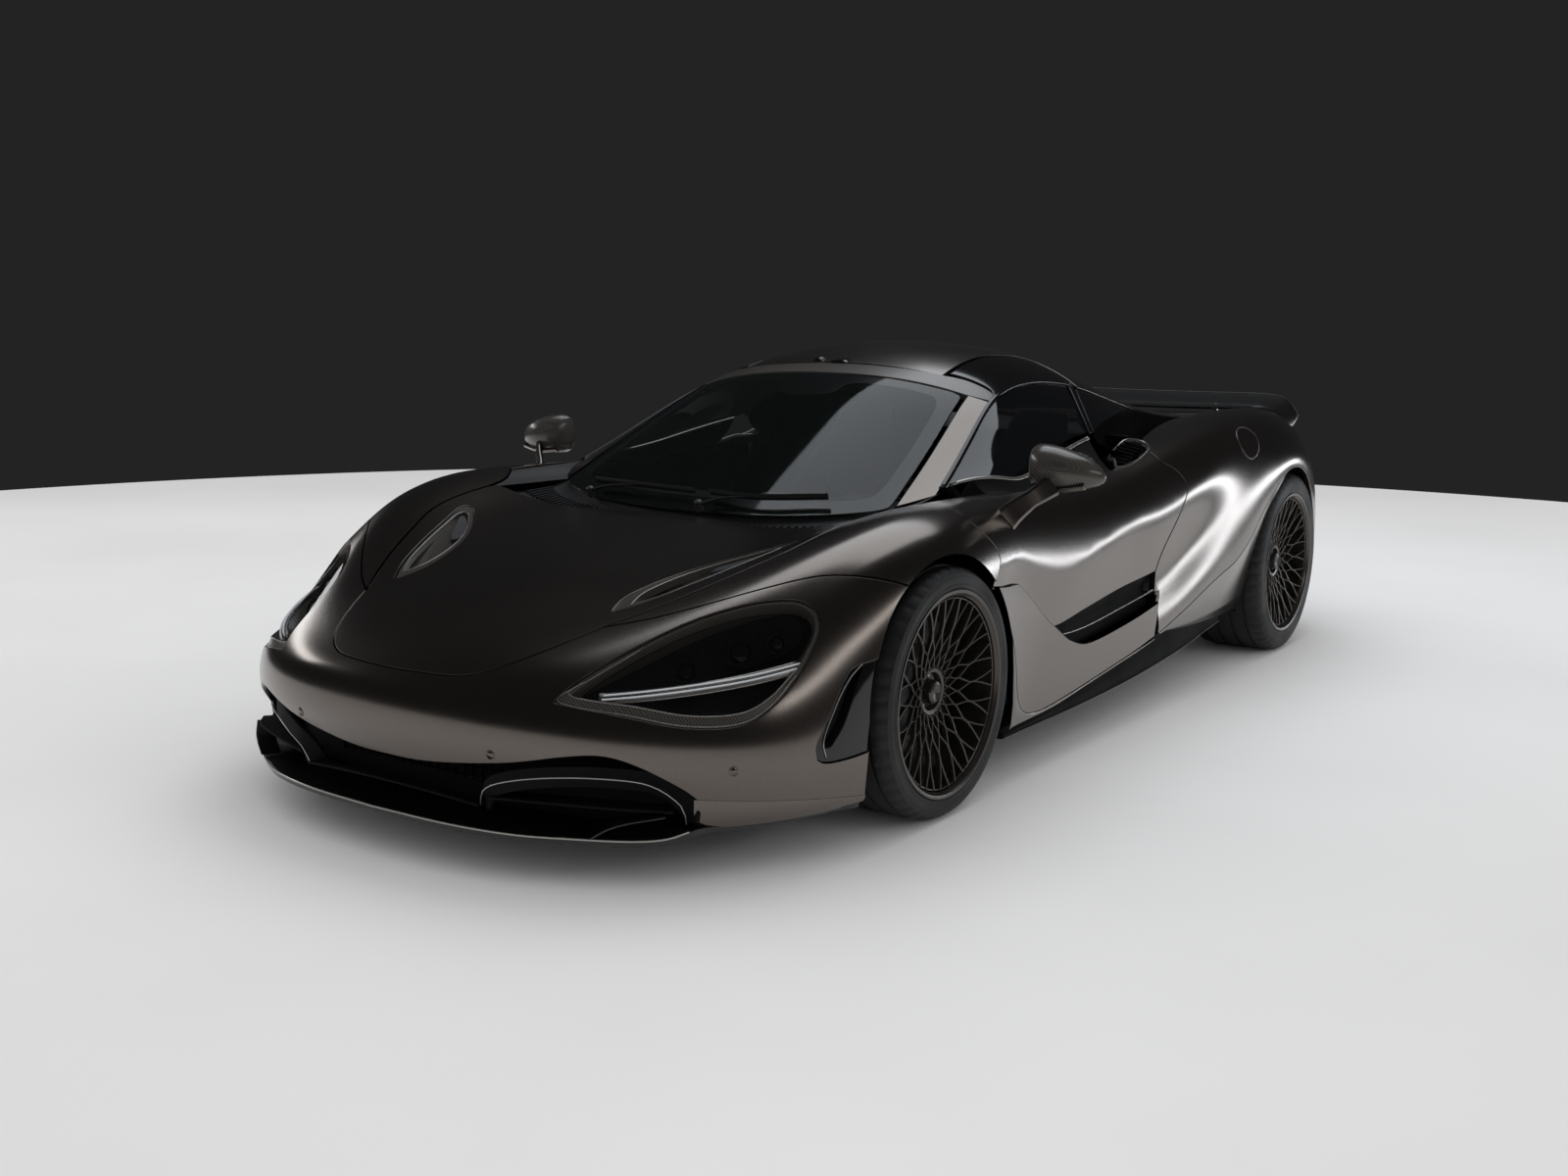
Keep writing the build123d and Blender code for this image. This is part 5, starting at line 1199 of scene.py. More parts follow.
def upright(hub, back, half, front):
    """Caliper on the trailing side in front and the leading side behind, and what carries it."""
    shape, middle, way = Shape(), (0, hub[1], hub[2]), 1 if front else -1
    rings = []
    for f in np.linspace(-1, 1, 13):
        swell = 0.026 * (1.0 - 0.18 * abs(f) ** 3)
        half_section = [(0.045, -0.062), (0.049, -0.055), (0.049, 0.012), (0.036, swell)]
        section = half_section + [(-x, r) for x, r in half_section[::-1]]
        section += [(-0.024, -0.060), (-0.024, 0.008), (0.024, 0.008), (0.024, -0.060)]
        rings.append([round_hub((back + 0.023, hub[1], hub[2]), x, DISC_R + r, radians(32 * f - 90 * way))
                      for x, r in section])
    loft(shape, rings)
    turned(shape, [(back - 0.030, 0.0), (back - 0.030, 0.062), (back - 0.026, 0.070), (back - 0.004, 0.070),
                   (back, 0.064), (back, 0.0)], middle, 36, 1)
    turned(shape, [(back, 0.029), (hub[0] + half - 0.082, 0.029), (hub[0] + half - 0.080, 0.0)], middle, 36,
           1)
    for y, wide, high in ((0, 0.03, 0.15), (0.095 * way, 0.075, 0.045)):
        block(shape, (back - 0.027, hub[1] + y - wide, hub[2] - high),
              (back - 0.003, hub[1] + y + wide, hub[2] + high), 0.006, 1)
    if front:
        pin = (hub[0] - 0.046, hub[1])
        sweep(shape, [(*pin, hub[2] - 0.163), (*pin, hub[2] + 0.163)], (0, 1, 0), oval(0.018, 0.018, 12),
              slot=1)
    return shape


for end, hub, radius, half in (("front", FRONT_HUB, 0.325, 0.1225), ("rear", REAR_HUB, 0.344, 0.15)):
    face = hub[0] + half - 0.109
    shapes = (wheel(hub, half), tyre(hub, radius, half), brake(face, hub),
              upright(hub, face - 0.040, half, end == "front"))
    for side in ("left", "right"):
        rim, band, disc, carrier = shapes if side == "left" else [s.mirrored() for s in shapes]
        body, which = f"wheel_{end}_{side}", f"{end}_{side}"
        make(rim, f"forged_rim_{which}", body, "wheel_black", [wheel_paint, bright_edge], [f"rim_{which}"])
        make(band, f"road_tyre_{which}", body, "tyre", [rubber], [f"tyre_{which}"], sharp=28)
        make(disc, f"vented_disc_{which}", body, "brake_iron", [disc_iron, alloy_and_painted_highlight],
             [f"brake_disc_{which}"])
        make(carrier, f"{end}_upright_{side}", f"knuckle_{side}" if end == "front" else "chassis", "alloy",
             [caliper_paint, alloy_and_painted_highlight], [f"knuckle_front_{side}"] if end == "front" else [])
print("four wheels hung")

# %% [markdown]
# ## Headlamps
# Each lamp sits in a dark eye socket. A carbon ledge lines it, a smoked lens covers the upper
# part with projectors behind, and a bright two-line light blade crosses it above a cooling duct.


# %% Headlamps
def about(points, middle, wide, high, to=None):
    """Outline scaled about a middle, and moved to another middle."""
    (u0, v0), (u1, v1) = middle, to or middle
    return [(u1 + (u - u0) * wide, v1 + (v - v0) * high) for u, v in points]


def bowl_depth(uv):
    """Deepest in the middle of the socket."""
    d = ((uv[:, 0] - 3.85) / 1.7) ** 2 + ((uv[:, 1] - 4.1) / 1.75) ** 2
    return 0.045 + 0.030 * (1 - smooth_step(d))


LAMP = (3.85, 4.14)          # the socket's middle
INNER = about(LAMP_HOLE, LAMP, 0.89, 0.93, (3.99, 4.16))
BOWL = about(LAMP_HOLE, LAMP, 0.97, 0.97)
EYE = [(2.72, 2.42), (3.3, 2.56), (4.1, 2.88), (4.76, 3.36), (5.12, 4.0), (5.22, 4.62), (5.14, 5.0),
       (4.9, 5.26), (4.5, 5.36), (4.16, 5.2), (3.78, 4.6), (3.4, 3.9), (3.05, 3.15), (2.74, 2.7),
       (2.72, 2.42)]
lamps = Shape()
panel(lamps, sunk(body_skin, 0.008), [about(LAMP_HOLE, LAMP, 1.03, 1.03)], holes=[[INNER]], step=0.018,
      gap=0.0005, depth=0.05, slot=1)
panel(lamps, sunk(body_skin, bowl_depth), [BOWL], step=0.025, gap=0.0, depth=0.01)
panel(lamps, sunk(body_skin, 0.016), [EYE], step=0.02, gap=0.001, depth=0.004, slot=2)
for spot, r in (((4.0, 3.6), 0.024), ((4.42, 4.3), 0.030), ((4.62, 4.9), 0.022)):
    out = unit(facing(body_skin, [spot])[0] * 0.6 + (0.1, -0.8, 0.1))
    small = Shape()
    turned(small, [(-0.02, r * 0.55), (0.0, r), (0.012, r * 1.18), (0.016, r * 1.2), (0.016, r * 1.1),
                   (0.010, r * 0.98)], (0, 0, 0), 32)
    turned(small, [(0.004, r * 0.9), (0.013, r * 0.62), (0.017, r * 0.3), (0.0185, 0.0)], (0, 0, 0), 32, 5)
    lamps.put(small, aimed(out), sunk(body_skin, 0.052)([spot])[0])
# The light blade runs from the lamp's front corner to its rear, over a finned duct
BLADE_U, BLADE_V = (2.92, 3.2, 3.52, 3.86), (2.75, 3.7, 4.7, 5.5)
for rows, wide, thick, slot, depth, shift in ((BLADE_V, 0.0035, 0.006, 3, 0.012, 0.10),
                                              (BLADE_V, 0.0035, 0.006, 3, 0.012, -0.03),
                                              ((2.7, 3.7, 4.7, 5.52), 0.030, 0.004, 4, 0.019, 0.03)):
    trace(lamps, body_skin, [(u + shift, v) for u, v in zip(BLADE_U, rows)], depth, bar(wide, thick, 0.4),
          0.012, slot=slot)
for v in np.linspace(2.9, 5.4, 26):
    u = np.interp(v, BLADE_V, BLADE_U) + 0.035
    p, q = sunk(body_skin, 0.0145)([(u, v), (u + 0.10, v)])
    sweep(lamps, [p - (q - p) * 0.55, q - (q - p) * 0.3], facing(body_skin, [(u, v)])[0], bar(0.0022, 0.004),
          slot=4)
trace(lamps, body_skin, INNER[9:] + INNER[1:3], 0.0075, bar(0.003, 0.003), 0.012, slot=4)
trace(lamps, body_skin, BOWL[9:14] + BOWL[:2], 0.0055, bar(0.003, 0.004), 0.012, slot=4)
lamps.both()
make(lamps, "headlamp_units", "chassis", "lamp_black",
     [liner_black, carbon, lamp_lens, light_guide, bright_edge, gloss_black], ["headlamps"], sharp=40)
print("lamps", len(lamps.points), "points")

# %% [markdown]
# ### Bonnet vents
# Two leaf-shaped vents let the front radiators breathe. Each has a carbon frame that turns down
# into a duct of the same weave. A pale patch at the duct's rear end is a painted highlight, and
# so is the bright line round the frame's inner edge.

# %% Bonnet vents
LEAF = (6.62, 2.5)           # the vent's middle
VENT_IN, VENT_OUT = about(VENT, LEAF, 0.83, 0.80, (6.64, 2.5)), about(VENT, LEAF, 1.04, 1.06)
END = max(VENT_IN)
vents = Shape()
panel(vents, sunk(body_skin, 0.003), [VENT_OUT], holes=[[VENT_IN]], step=0.02, gap=0.0005, edge=0.003,
      depth=0.02)
panel(vents, sunk(body_skin, lambda uv: 0.016 + 0.020 * smooth_step((7.6 - uv[:, 0]) / 2.0)), [VENT_OUT],
      step=0.03, gap=0, depth=0.004)
# The pale patch at the duct's rear end is a painted highlight.
panel(vents, sunk(body_skin, 0.009), [about(VENT_IN, END, 0.36, 0.62, (END[0] - 0.08, END[1]))], step=0.02,
      gap=0, edge=0.003, depth=0.02, slot=1)
# The bright line round the frame's inner edge is a painted highlight.
edge_line = loop_of([VENT_IN], body_skin.scale, 0.012) / body_skin.scale
sweep(vents, sunk(body_skin, 0.003)(edge_line), facing(body_skin, edge_line), bar(0.003, 0.003), closed=True,
      slot=2)
vents.both()
make(vents, "bonnet_vents", "bonnet", "carbon", [carbon, alloy_and_painted_highlight, bright_edge])
print("vents", len(vents.points), "points")

# %% [markdown]
# ### Under the front bumper
# The painted skin doesn't end at its lowest line: it carries on down to the splitter and tucks
# in, which hides its edge.

# %% Under-lip
lip = Shape()
lip_rows = np.linspace(3.98, 8.0, 40)
edge_top = body_skin([(0.0, v) for v in lip_rows])
tuck = facing(body_skin, [(0.3, v) for v in lip_rows]) * (1, 1, 0)
rows = []
for f, inwards in ((0, 0.0), (0.15, 0.000), (0.45, 0.003), (0.75, 0.011), (1, 0.024), (1, 0.06)):
    row = edge_top - tuck * (inwards - 0.0004)
    row[:, 2] = mix(edge_top[:, 2] + 0.0016, 0.122, f)
    rows.append(row)
sheet(lip, rows, flip=True)
lip.both()
make(lip, "bumper_under_lip", "chassis", "satin_paint", [satin_paint])
print("under-lip", len(lip.points), "points")

# %% [markdown]
# ### Nose openings and splitter
# Below the painted lip the nose is a wide black opening. Ducts at its ends feed the brakes, a
# mesh closes the middle, and a flat splitter reaches forward just above the road.

# %% Nose openings
SPLITTER = [(560, -330, 118), (880, -330, 121), (878, -420, 123), (850, -530, 125), (795, -645, 125),
            (742, -735, 126), (735, -785, 128), (700, -822, 114), (640, -872, 110), (520, -945, 112),
            (400, -1000, 113), (230, -1034, 114), (0, -1047, 115)]
WALL = [(0, -880, 350), (260, -868, 345), (480, -820, 345), (640, -730, 350), (730, -640, 340),
        (800, -520, 320), (840, -420, 320)]
DUCT = [(296, -968, 160), (312, -976, 196), (360, -972, 222), (450, -935, 240), (560, -872, 244),
        (650, -800, 228), (706, -756, 180), (722, -756, 140)]
DUCT_FIN = [(318, -965, 182), (460, -925, 186), (600, -865, 184), (690, -790, 174)]
STRUT = [(560, -905, 118), (610, -880, 150), (690, -815, 168)]
nose = Shape()
half = line(SPLITTER[::-1], 22)
top = ats(np.concatenate([half, half[::-1] * (-1, 1, 1)]))
inner, under, count = top * (0.996, 1, 1) + (0, 0.002, 0.001), top - (0, 0, 0.012), len(top)
sheet(nose, [inner, top, under], flip=True, slot=1, wrap=True)
strips = [(k, k + 1, count - 2 - k, count - 1 - k) for k in range(count // 2 - 1)]
nose.add(inner, strips, slot=1)
nose.add(under, [f[::-1] for f in strips], slot=1)
# The bright strip along the splitter's front edge is a painted highlight.
front_edge = line(ats([(x, y - 2, z + 1) for x, y, z in SPLITTER[6:]]), 0.02)
front_edge = np.concatenate([front_edge, (front_edge * (-1, 1, 1))[::-1][1:]])
sweep(nose, front_edge, (0, 0, 1), bar(0.004, 0.005), slot=2)
# A black wall behind the openings follows the lip, and closes what the skin leaves open
for s in (1, -1):
    sheet(nose, [ats([(s * x, y, 120) for x, y, z in WALL]), ats([(s * x, y, z) for x, y, z in WALL])],
          flip=s < 0)
    # Duct frame: rounded outline, flaring towards the corner
    frame_line = line(ats([(s * x, y, z) for x, y, z in DUCT]), 0.02)
    sweep(nose, frame_line, (0, 0, 1), bar(0.012, 0.05, 0.2))
    # The thin bright line along the duct frame is a painted highlight.
    sweep(nose, frame_line + (0, -0.024, 0.002), (0, 0, 1), bar(0.002, 0.003), slot=2)
    for fin, section, gap, slot in ((DUCT_FIN, bar(0.06, 0.006, 0.3), 0.03, 0),
                                    (STRUT, bar(0.05, 0.005, 0.3), 0.02, 1)):
        sweep(nose, line(ats([(s * x, y, z) for x, y, z in fin]), gap), (0, 0, 1), section, slot=slot)
sweep(nose, line(ats([(-290, -985, 160), (-150, -1002, 172), (0, -1008, 176), (150, -1002, 172),
                      (290, -985, 160)]), 0.03), (0, 0, 1), bar(0.03, 0.006, 0.3))
for x in np.arange(-270, 271, 30):
    sweep(nose, [at(x, -900, 178), at(x, -900, 320)], (0, 1, 0), bar(0.003, 0.012))
for z in np.arange(186, 320, 22):
    sweep(nose, line(ats([(-290, -898, z), (0, -905, z), (290, -898, z)]), 0.05), (0, 1, 0),
          bar(0.003, 0.010))
make(nose, "nose_openings", "chassis", "black_plastic", [liner_black, dark_carbon, bright_edge],
     ["intake_grilles", "front_splitter"], sharp=35)
print("nose", len(nose.points), "points")

# %% [markdown]
# ### Corner inserts and parking sensors
# A piano-black insert with an open slot fills the corner ahead of each front wheel. The sensors
# are small turned buttons that look out along the skin's own normal.

# %% Corner inserts and sensors
INSERT_IN = [(1.72, 6.6), (1.72, 6.42), (2.2, 6.44), (3.1, 6.66), (3.85, 6.92), (4.0, 7.12), (3.3, 7.1),
             (2.4, 6.94), (1.72, 6.6)]
INSERT_OUT = [[foot(1.40), (1.22, 6.6), (1.34, 6.22)],
              [(1.34, 6.22), (1.82, 6.16), (2.6, 6.44), (3.59, 6.65), (3.97, 6.84), foot(4.26)],
              arch(4.26, 1.40, count=24)]
corner, button = Shape(), Shape()
panel(corner, sunk(body_skin, 0.006), INSERT_OUT, holes=[[INSERT_IN]], step=0.02, gap=0.0005, edge=0.003,
      depth=0.03)
panel(corner, sunk(body_skin, 0.035), INSERT_OUT, step=0.03, gap=0, depth=0.004, slot=1)
trace(corner, body_skin, [(1.36, 6.5), (1.9, 6.38), (2.7, 6.56), (3.6, 6.8), (4.05, 7.05)], 0.0045,
      bar(0.003, 0.003), slot=2)
corner.both()
turned(button, [(-0.002, 0.0125), (0.0008, 0.012), (0.0008, 0.0105), (-0.0005, 0.0100), (-0.0005, 0.0092),
                (0.0012, 0.0085), (0.0014, 0.0)], (0, 0, 0), 32, 3)
for spot in ((0.9, 1.45), (0.9, -1.45), (1.05, 4.6), (1.05, -4.6)):
    corner.put(button, aimed(facing(body_skin, [spot])[0]), body_skin([spot])[0])
make(corner, "corner_inserts_and_sensors", "chassis", "gloss_black",
     [gloss_black, black_abs, bright_edge, satin_paint])
print("corners", len(corner.points), "points")

# %% [markdown]
# ### Wheel-arch liners
# Inside each arch a moulded liner follows the tyre. Shallow waves along it stiffen the sheet.

# %% Wheel-arch liners
liners = Shape()
for hub, radius, low, outer in ((FRONT_HUB, 0.392, -118, 0.875), (REAR_HUB, 0.400, -112, 0.90)):
    rows = [np.array([round_hub((0, *hub[1:]), x, radius + 0.003 * cos(14 * a), a)
                      for x in np.linspace(0.60, outer + 0.02 * cos(a), 7)])
            for a in np.radians(np.linspace(low, 112, 49))]
    sheet(liners, rows, flip=True)
    sheet(liners, [row + (0, 0, 0.002) for row in rows])
liners.both()
make(liners, "wheel_arch_liners", "chassis", "black_plastic", [liner_black])
print("liners", len(liners.points), "points")

# %% [markdown]
# ## Tail, deck and intakes
# Behind the side glass a dark trough leads air past the buttresses to the radiators, its mouth
# framed like a hexagon. Its floor is a sheet between one edge on the body and one on the cabin,
# lowered in the middle, with guide vanes standing in it.


# %% Intake troughs
def picked(points, count):
    """So many of the points, evenly spread."""
    return points[np.round(np.linspace(0, len(points) - 1, count)).astype(int)]


def drawn(place, points, depth):
    """Forty-eight points along a smooth line on a skin, sunk by a depth."""
    return sunk(place, depth)(picked(line(np.array(points) * place.scale, 0.02), 48) / place.scale)


trough = Shape()
edge_out = drawn(body_skin, [(18.58, 4.3), (18.9, 3.78), (19.6, 3.47), (20.6, 3.17), (22.0, 2.97),
                             (24.6, 2.95)], 0.006)
edge_in = drawn(cabin_skin, [(5.28, 5.62), (5.64, 4.5), (6.1, 3.64), (7.66, 3.64), (8.6, 3.64),
                             (9.72, 3.54)], 0.006)
drop = np.interp(np.linspace(0, 1, 48), [0, 0.12, 0.3, 0.7, 1], [0.03, 0.10, 0.16, 0.10, 0.03])
drop = drop[:, None] * (0, 0, 1)
DEPTHS = [(0, 0), (0.02, 0.35), (0.15, 0.85), (0.4, 1.0), (0.7, 1.0), (0.92, 0.75), (0.99, 0.3), (1, 0)]
sheet(trough, [mix(edge_out, edge_in, f) - drop * d for f, d in DEPTHS], flip=True)
MOUTH = [(797, 1345, 792), (760, 1410, 812), (728, 1440, 812), (690, 1600, 838), (700, 1660, 858),
         (745, 1690, 850), (795, 1610, 830), (806, 1440, 792), (797, 1345, 792)]
sweep(trough, loop_of([ats(MOUTH)], 1.0, 0.02), (0.3, 0, 1), bar(0.006, 0.012), closed=True, slot=1)
for k in range(7):
    y = 1450 + 34 * k
    sweep(trough, ats([(708 - 4 * k, y, 800 + 7 * k), (792 - 6 * k, y - 10, 786 + 7 * k)]), (0, 0, 1),
          bar(0.004, 0.03))
trough.both()
make(trough, "intake_troughs", "chassis", "black_plastic", [liner_black, bright_edge], ["intake_ducts"])
print("troughs", len(trough.points), "points")

# %% [markdown]
# ### Deck
# The painted deck has one wide slot with slats over the engine's hot air. Dark sheets in front
# of it and behind it close the tail, so that nobody sees through the car.

# %% Deck
DECK = [[(24.6, 0), (24.6, 1.5), (24.6, 2.92)], [(24.6, 2.92), (26.2, 2.92), (27.95, 2.92)],
        [(27.95, 2.92), (27.95, 1.5), (27.95, 0)]]
SLOT = halves([[(25.2, 0), (25.2, 1.9)], [(25.2, 1.9), (25.7, 2.1), (26.4, 1.9)], [(26.4, 1.9), (26.4, 0)]])
WING_PIN_X = 430
deck = Shape()
panel(deck, sunk(body_skin, 0.004), halves(DECK), holes=[SLOT], step=0.03, depth=0.02)
for u in (25.35, 25.6, 25.85, 26.1, 26.3):
    row = line(np.array([(u, -1.9), (u, 0), (u, 1.9)]) * body_skin.scale, 0.05) / body_skin.scale
    sweep(deck, sunk(body_skin, 0.016)(row), (0, 0.5, 0.86), bar(0.03, 0.004), slot=1)
for x in (WING_PIN_X, -WING_PIN_X):
    block(deck, at(x - 10, 3238, 856), at(x + 10, 3266, 874), 0.003, 1)
deck_front = sunk(body_skin, 0.02)([(24.64, v) for v in np.linspace(-3.1, 3.1, 41)])
sheet(deck, [deck_front - (0, 0.36 * f, 0.17 * sin(pi / 2 * f)) for f in np.linspace(0, 1, 6)], slot=1)
deck_rear = sunk(body_skin, 0.012)([(27.94, v) for v in np.linspace(-4.4, 4.4, 41)])
tail_top = sunk(tail_skin, 0.02)([(0.04, v) for v in np.linspace(-3.5, 3.5, 41)])
rows = [mix(deck_rear, tail_top, f) - (0, 0.03 * sin(pi * f), 0) for f in np.linspace(0, 1, 5)]
sheet(deck, rows, slot=1)
for row in rows[1:-1]:
    sweep(deck, row[1:-1] + (0, 0.006, 0), (0, 0, 1), bar(0.016, 0.006, 0.3), slot=1)
make(deck, "rear_deck_skin", "chassis", "black_plastic", [satin_paint, black_abs, alloy_and_painted_highlight], ["rear_deck"])
print("deck", len(deck.points), "points")

# %% [markdown]
# ### Rear wing
# The wing is one lofted blade, thick in front and upswept behind, that curves down at both tips.
# It tilts on two pins under its leading edge.


# %% Rear wing
def foil(x, y, z, chord, thick):
    """Closed section of the wing across the car at one half-width, as points of the frame."""
    top = [(0, 0), (0.02, 0.35), (0.1, 0.6), (0.3, 0.82), (0.5, 1.02), (0.7, 1.28), (0.88, 1.62), (1.0, 1.9)]
    low = [(1.0, 1.72), (0.88, 1.28), (0.7, 0.72), (0.5, 0.18), (0.3, -0.2), (0.12, -0.34), (0.03, -0.22)]
    return ats([(x, y + a * chord, z + b * thick) for a, b in top + low])


TIP_TO_MIDDLE = [(712, 3385, 824, 105, 20), (690, 3345, 850, 150, 24), (640, 3290, 884, 205, 28),
                 (540, 3242, 897, 243, 28), (260, 3234, 892, 254, 29), (0, 3232, 891, 258, 29)]
spans = line([(-x, *rest) for x, *rest in TIP_TO_MIDDLE] + TIP_TO_MIDDLE[-2::-1], 30)
wing = Shape()
sections = [foil(*p) for p in spans]
loft(wing, sections)
sweep(wing, np.array([s[7] for s in sections]) - (0, 0.003, 0), (0, 0, 1), bar(0.010, 0.003), slot=1)
for x in (WING_PIN_X, -WING_PIN_X):
    block(wing, at(x - 8, 3244, 886), at(x + 8, 3260, 912), 0.003, 1)
    turned(wing, [(-0.008, 0.0065), (-0.008, 0.013), (0.008, 0.013), (0.008, 0.0065)], at(x, 3252, 893), 24,
           1)
make(wing, "wing_blade", "rear_wing", "carbon", [dark_carbon, carbon], ["rear_wing"], sharp=40)
print("wing", len(wing.points), "points")

# %% [markdown]
# ### Rear bumper and mesh
# The tail is mostly open mesh. Its strands are thin bars laid along the tail's own skin, in
# front of a dark back wall; slatted vents fill the corners, and a blank plate sits in the middle.

# %% Rear bumper and mesh
OUTLINE = [[(0.0, 0), (0.0, 2), (0.0, 4.0)], [(0.0, 4.0), (1.2, 4.0), (2.4, 4.0), (4.0, 4.0)],
           [(4.0, 4.0), (4.35, 3.5), (4.2, 2.6)], [(4.2, 2.6), (3.3, 2.3), (2.9, 1.2), (2.9, 0)]]
MESH = halves([[(0.62, 0), (0.62, 3.4)], [(0.62, 3.4), (0.85, 3.72), (1.4, 3.74)],
               [(1.4, 3.74), (1.9, 3.5), (2.0, 2.9)], [(2.0, 2.9), (1.96, 1.6), (1.95, 0)]])
SIDE_VENT = [[(2.45, 2.75), (2.4, 3.3), (2.5, 3.78)], [(2.5, 3.78), (3.2, 3.82), (3.9, 3.76)],
             [(3.9, 3.76), (3.6, 3.2), (2.9, 2.8), (2.45, 2.75)]]
PLATE = [[(2.2, -0.92), (2.2, 0.92)], [(2.2, 0.92), (2.78, 0.92)], [(2.78, 0.92), (2.78, -0.92)],
         [(2.78, -0.92), (2.2, -0.92)]]
rear, screw = Shape(), Shape()
panel(rear, tail_skin, halves(OUTLINE), holes=[MESH, SIDE_VENT, [flipped(side) for side in SIDE_VENT]],
      step=0.028, gap=0.002, edge=0.006, depth=0.03)
panel(rear, sunk(tail_skin, 0.045), halves([[(0.4, 0), (0.4, 3.9)], [(0.4, 3.9), (4.1, 3.95)],
                                            [(4.1, 3.95), (4.1, 0)]]), step=0.05, gap=0, depth=0.004, slot=1)
for u in np.arange(0.72, 1.95, 0.11):
    trace(rear, tail_skin, [(u, -3.7), (u, 0), (u, 3.7)], 0.022, bar(0.0022, 0.006), 0.06, slot=1)
for v in np.arange(-3.68, 3.69, 0.046):
    for lean, depth in ((0.2, 0.024), (-0.2, 0.026)):
        trace(rear, tail_skin, [(0.62, v), (1.98, v + lean)], depth, bar(0.0020, 0.006), 0.07, slot=1,
              caps=False)
for s in (1, -1):
    for k in range(5):
        u = 2.6 + 0.26 * k
        trace(rear, tail_skin, [(u, s * (2.8 + 0.16 * k)), (u, s * 3.8)], 0.02, bar(0.005, 0.03), 0.05,
              slot=1)
panel(rear, sunk(tail_skin, -0.0015), PLATE, step=0.05, gap=0, edge=0.002, depth=0.006, slot=1)
turned(screw, [(0.0, 0.006), (0.002, 0.0055), (0.003, 0.003), (0.003, 0.0)], (0, 0, 0), 20, 2)
for x in (0.140, -0.140):
    rear.put(screw, aimed((0, 1, 0)), tail_skin([(2.35, x / 0.300)])[0] + (0, 0.003, 0))
# Closing strips between the quarter panels and the tail
for s in (1, -1):
    body_edge = body_skin([(27.95, s * v) for v in np.linspace(5.0, 8.0, 24)])
    tail_edge = tail_skin([(u, s * 4.0) for u in np.linspace(0.02, 4.0, 24)])
    rows = [mix(body_edge, tail_edge, f) - (s * d, 0, 0) for f, d in ((0, 0.004), (0.4, 0.0), (1, 0.002))]
    sheet(rear, rows, flip=s > 0)
make(rear, "rear_bumper_skin", "chassis", "satin_paint", [satin_paint, black_abs, alloy_and_painted_highlight],
     ["rear_bumper"])
print("tail", len(rear.points), "points")

# %% [markdown]
# ### Tail lamps and tailpipes
# Slim red lenses follow the mesh's upper edge, each with a thin light guide in its middle. Two
# turned pipes stand out of the mesh; their mouths are rolled and dark inside.

# %% Tail lamps and tailpipes
LAMP_LINE = [(0.34, 1.5), (0.30, 2.6), (0.34, 3.4), (0.62, 3.86), (1.05, 3.92), (1.3, 3.86)]
tail, tip, pipes = Shape(), Shape(), Shape()
for points in (LAMP_LINE, flipped(LAMP_LINE)):
    trace(tail, tail_skin, points, -0.002, bar(0.021, 0.012, 0.35))
    trace(tail, tail_skin, points, -0.0068, bar(0.003, 0.003, 0.35), slot=1)
make(tail, "tail_lamp_strips", "chassis", "lamp_red", [red_lens, light_guide], ["tail_lamps"])
turned(tip, [(-0.150, 0.047), (-0.02, 0.048), (0.0, 0.053), (0.006, 0.054), (0.008, 0.052), (0.004, 0.048),
             (-0.03, 0.044), (-0.150, 0.043)], (0, 0, 0), 56)
turned(tip, [(-0.09, 0.044), (-0.088, 0.03), (-0.092, 0.0)], (0, 0, 0), 32, 1)
for x in (185, -185):
    pipes.put(tip, aimed((0, 1, 0)), at(x, 3472, 655))
make(pipes, "tailpipe_tips", "chassis", "titanium", [titanium, black_abs], ["tailpipes"])
print("lamps and pipes", len(tail.points) + len(pipes.points), "points")

# %% [markdown]
# ### Diffuser
# Air from under the floor expands between the diffuser's fins, which grow towards the middle of
# the tray and shrink again at its end. A slatted dark panel joins the tray to the bumper.

# %% Diffuser
WIDE = np.linspace(-760, 760, 39)
aero = Shape()
tray = [ats([(x, 3050 + 350 * f - 20 * (abs(x) >= 700), 125 + 156 * f ** 1.25 + 8 * (abs(x) > 740))
             for x in WIDE]) for f in np.linspace(0, 1, 13)]
sheet(aero, tray)
sheet(aero, np.array(tray) + (0, 0, 0.008), flip=True)
sweep(aero, tray[-1] + (0, 0, 0.004), (0, 0, 1), bar(0.012, 0.014, 0.3))
for x in (-560, -400, -240, -80, 80, 240, 400, 560):
    rings = []
    for f in np.linspace(0, 1, 9):
        y, top = 3080 + 315 * f, 130 + 148 * f ** 1.25
        low = top - 4 - 70 * smooth_step(f / 0.6) + 34 * smooth_step((f - 0.6) / 0.4)
        rings.append(ats([(x - 3, y, low), (x + 3, y, low), (x + 3.5, y, top), (x - 3.5, y, top)]))
    loft(aero, rings)
low_edge = ats([(x, 3392, 284) for x in np.linspace(-700, 700, 41)])
high_edge = ats([(x, 3418 - 70 * (x / 700) ** 2, np.interp(abs(x), (0, 420, 600, 700), (500, 498, 465, 350)))
                 for x in np.linspace(-700, 700, 41)])
rows = [mix(low_edge, high_edge, f) - (0, 0.02 * sin(pi * f), 0) for f in np.linspace(0, 1, 9)]
sheet(aero, rows, flip=True, slot=1)
for row in rows[1:-1]:
    sweep(aero, row[1:-1] + (0, 0.006, 0), (0, 0, 1), bar(0.018, 0.010, 0.3), slot=1)
make(aero, "diffuser_tray", "chassis", "carbon", [dark_carbon, black_abs], ["diffuser"], sharp=40)
print("diffuser", len(aero.points), "points")

# %% [markdown]
# ### Side skirts
# The skirts are thin blades between the wheels. Their outer edge carries a fine lip and their top
# rises towards the rear wheel, where the body narrows at the waist.

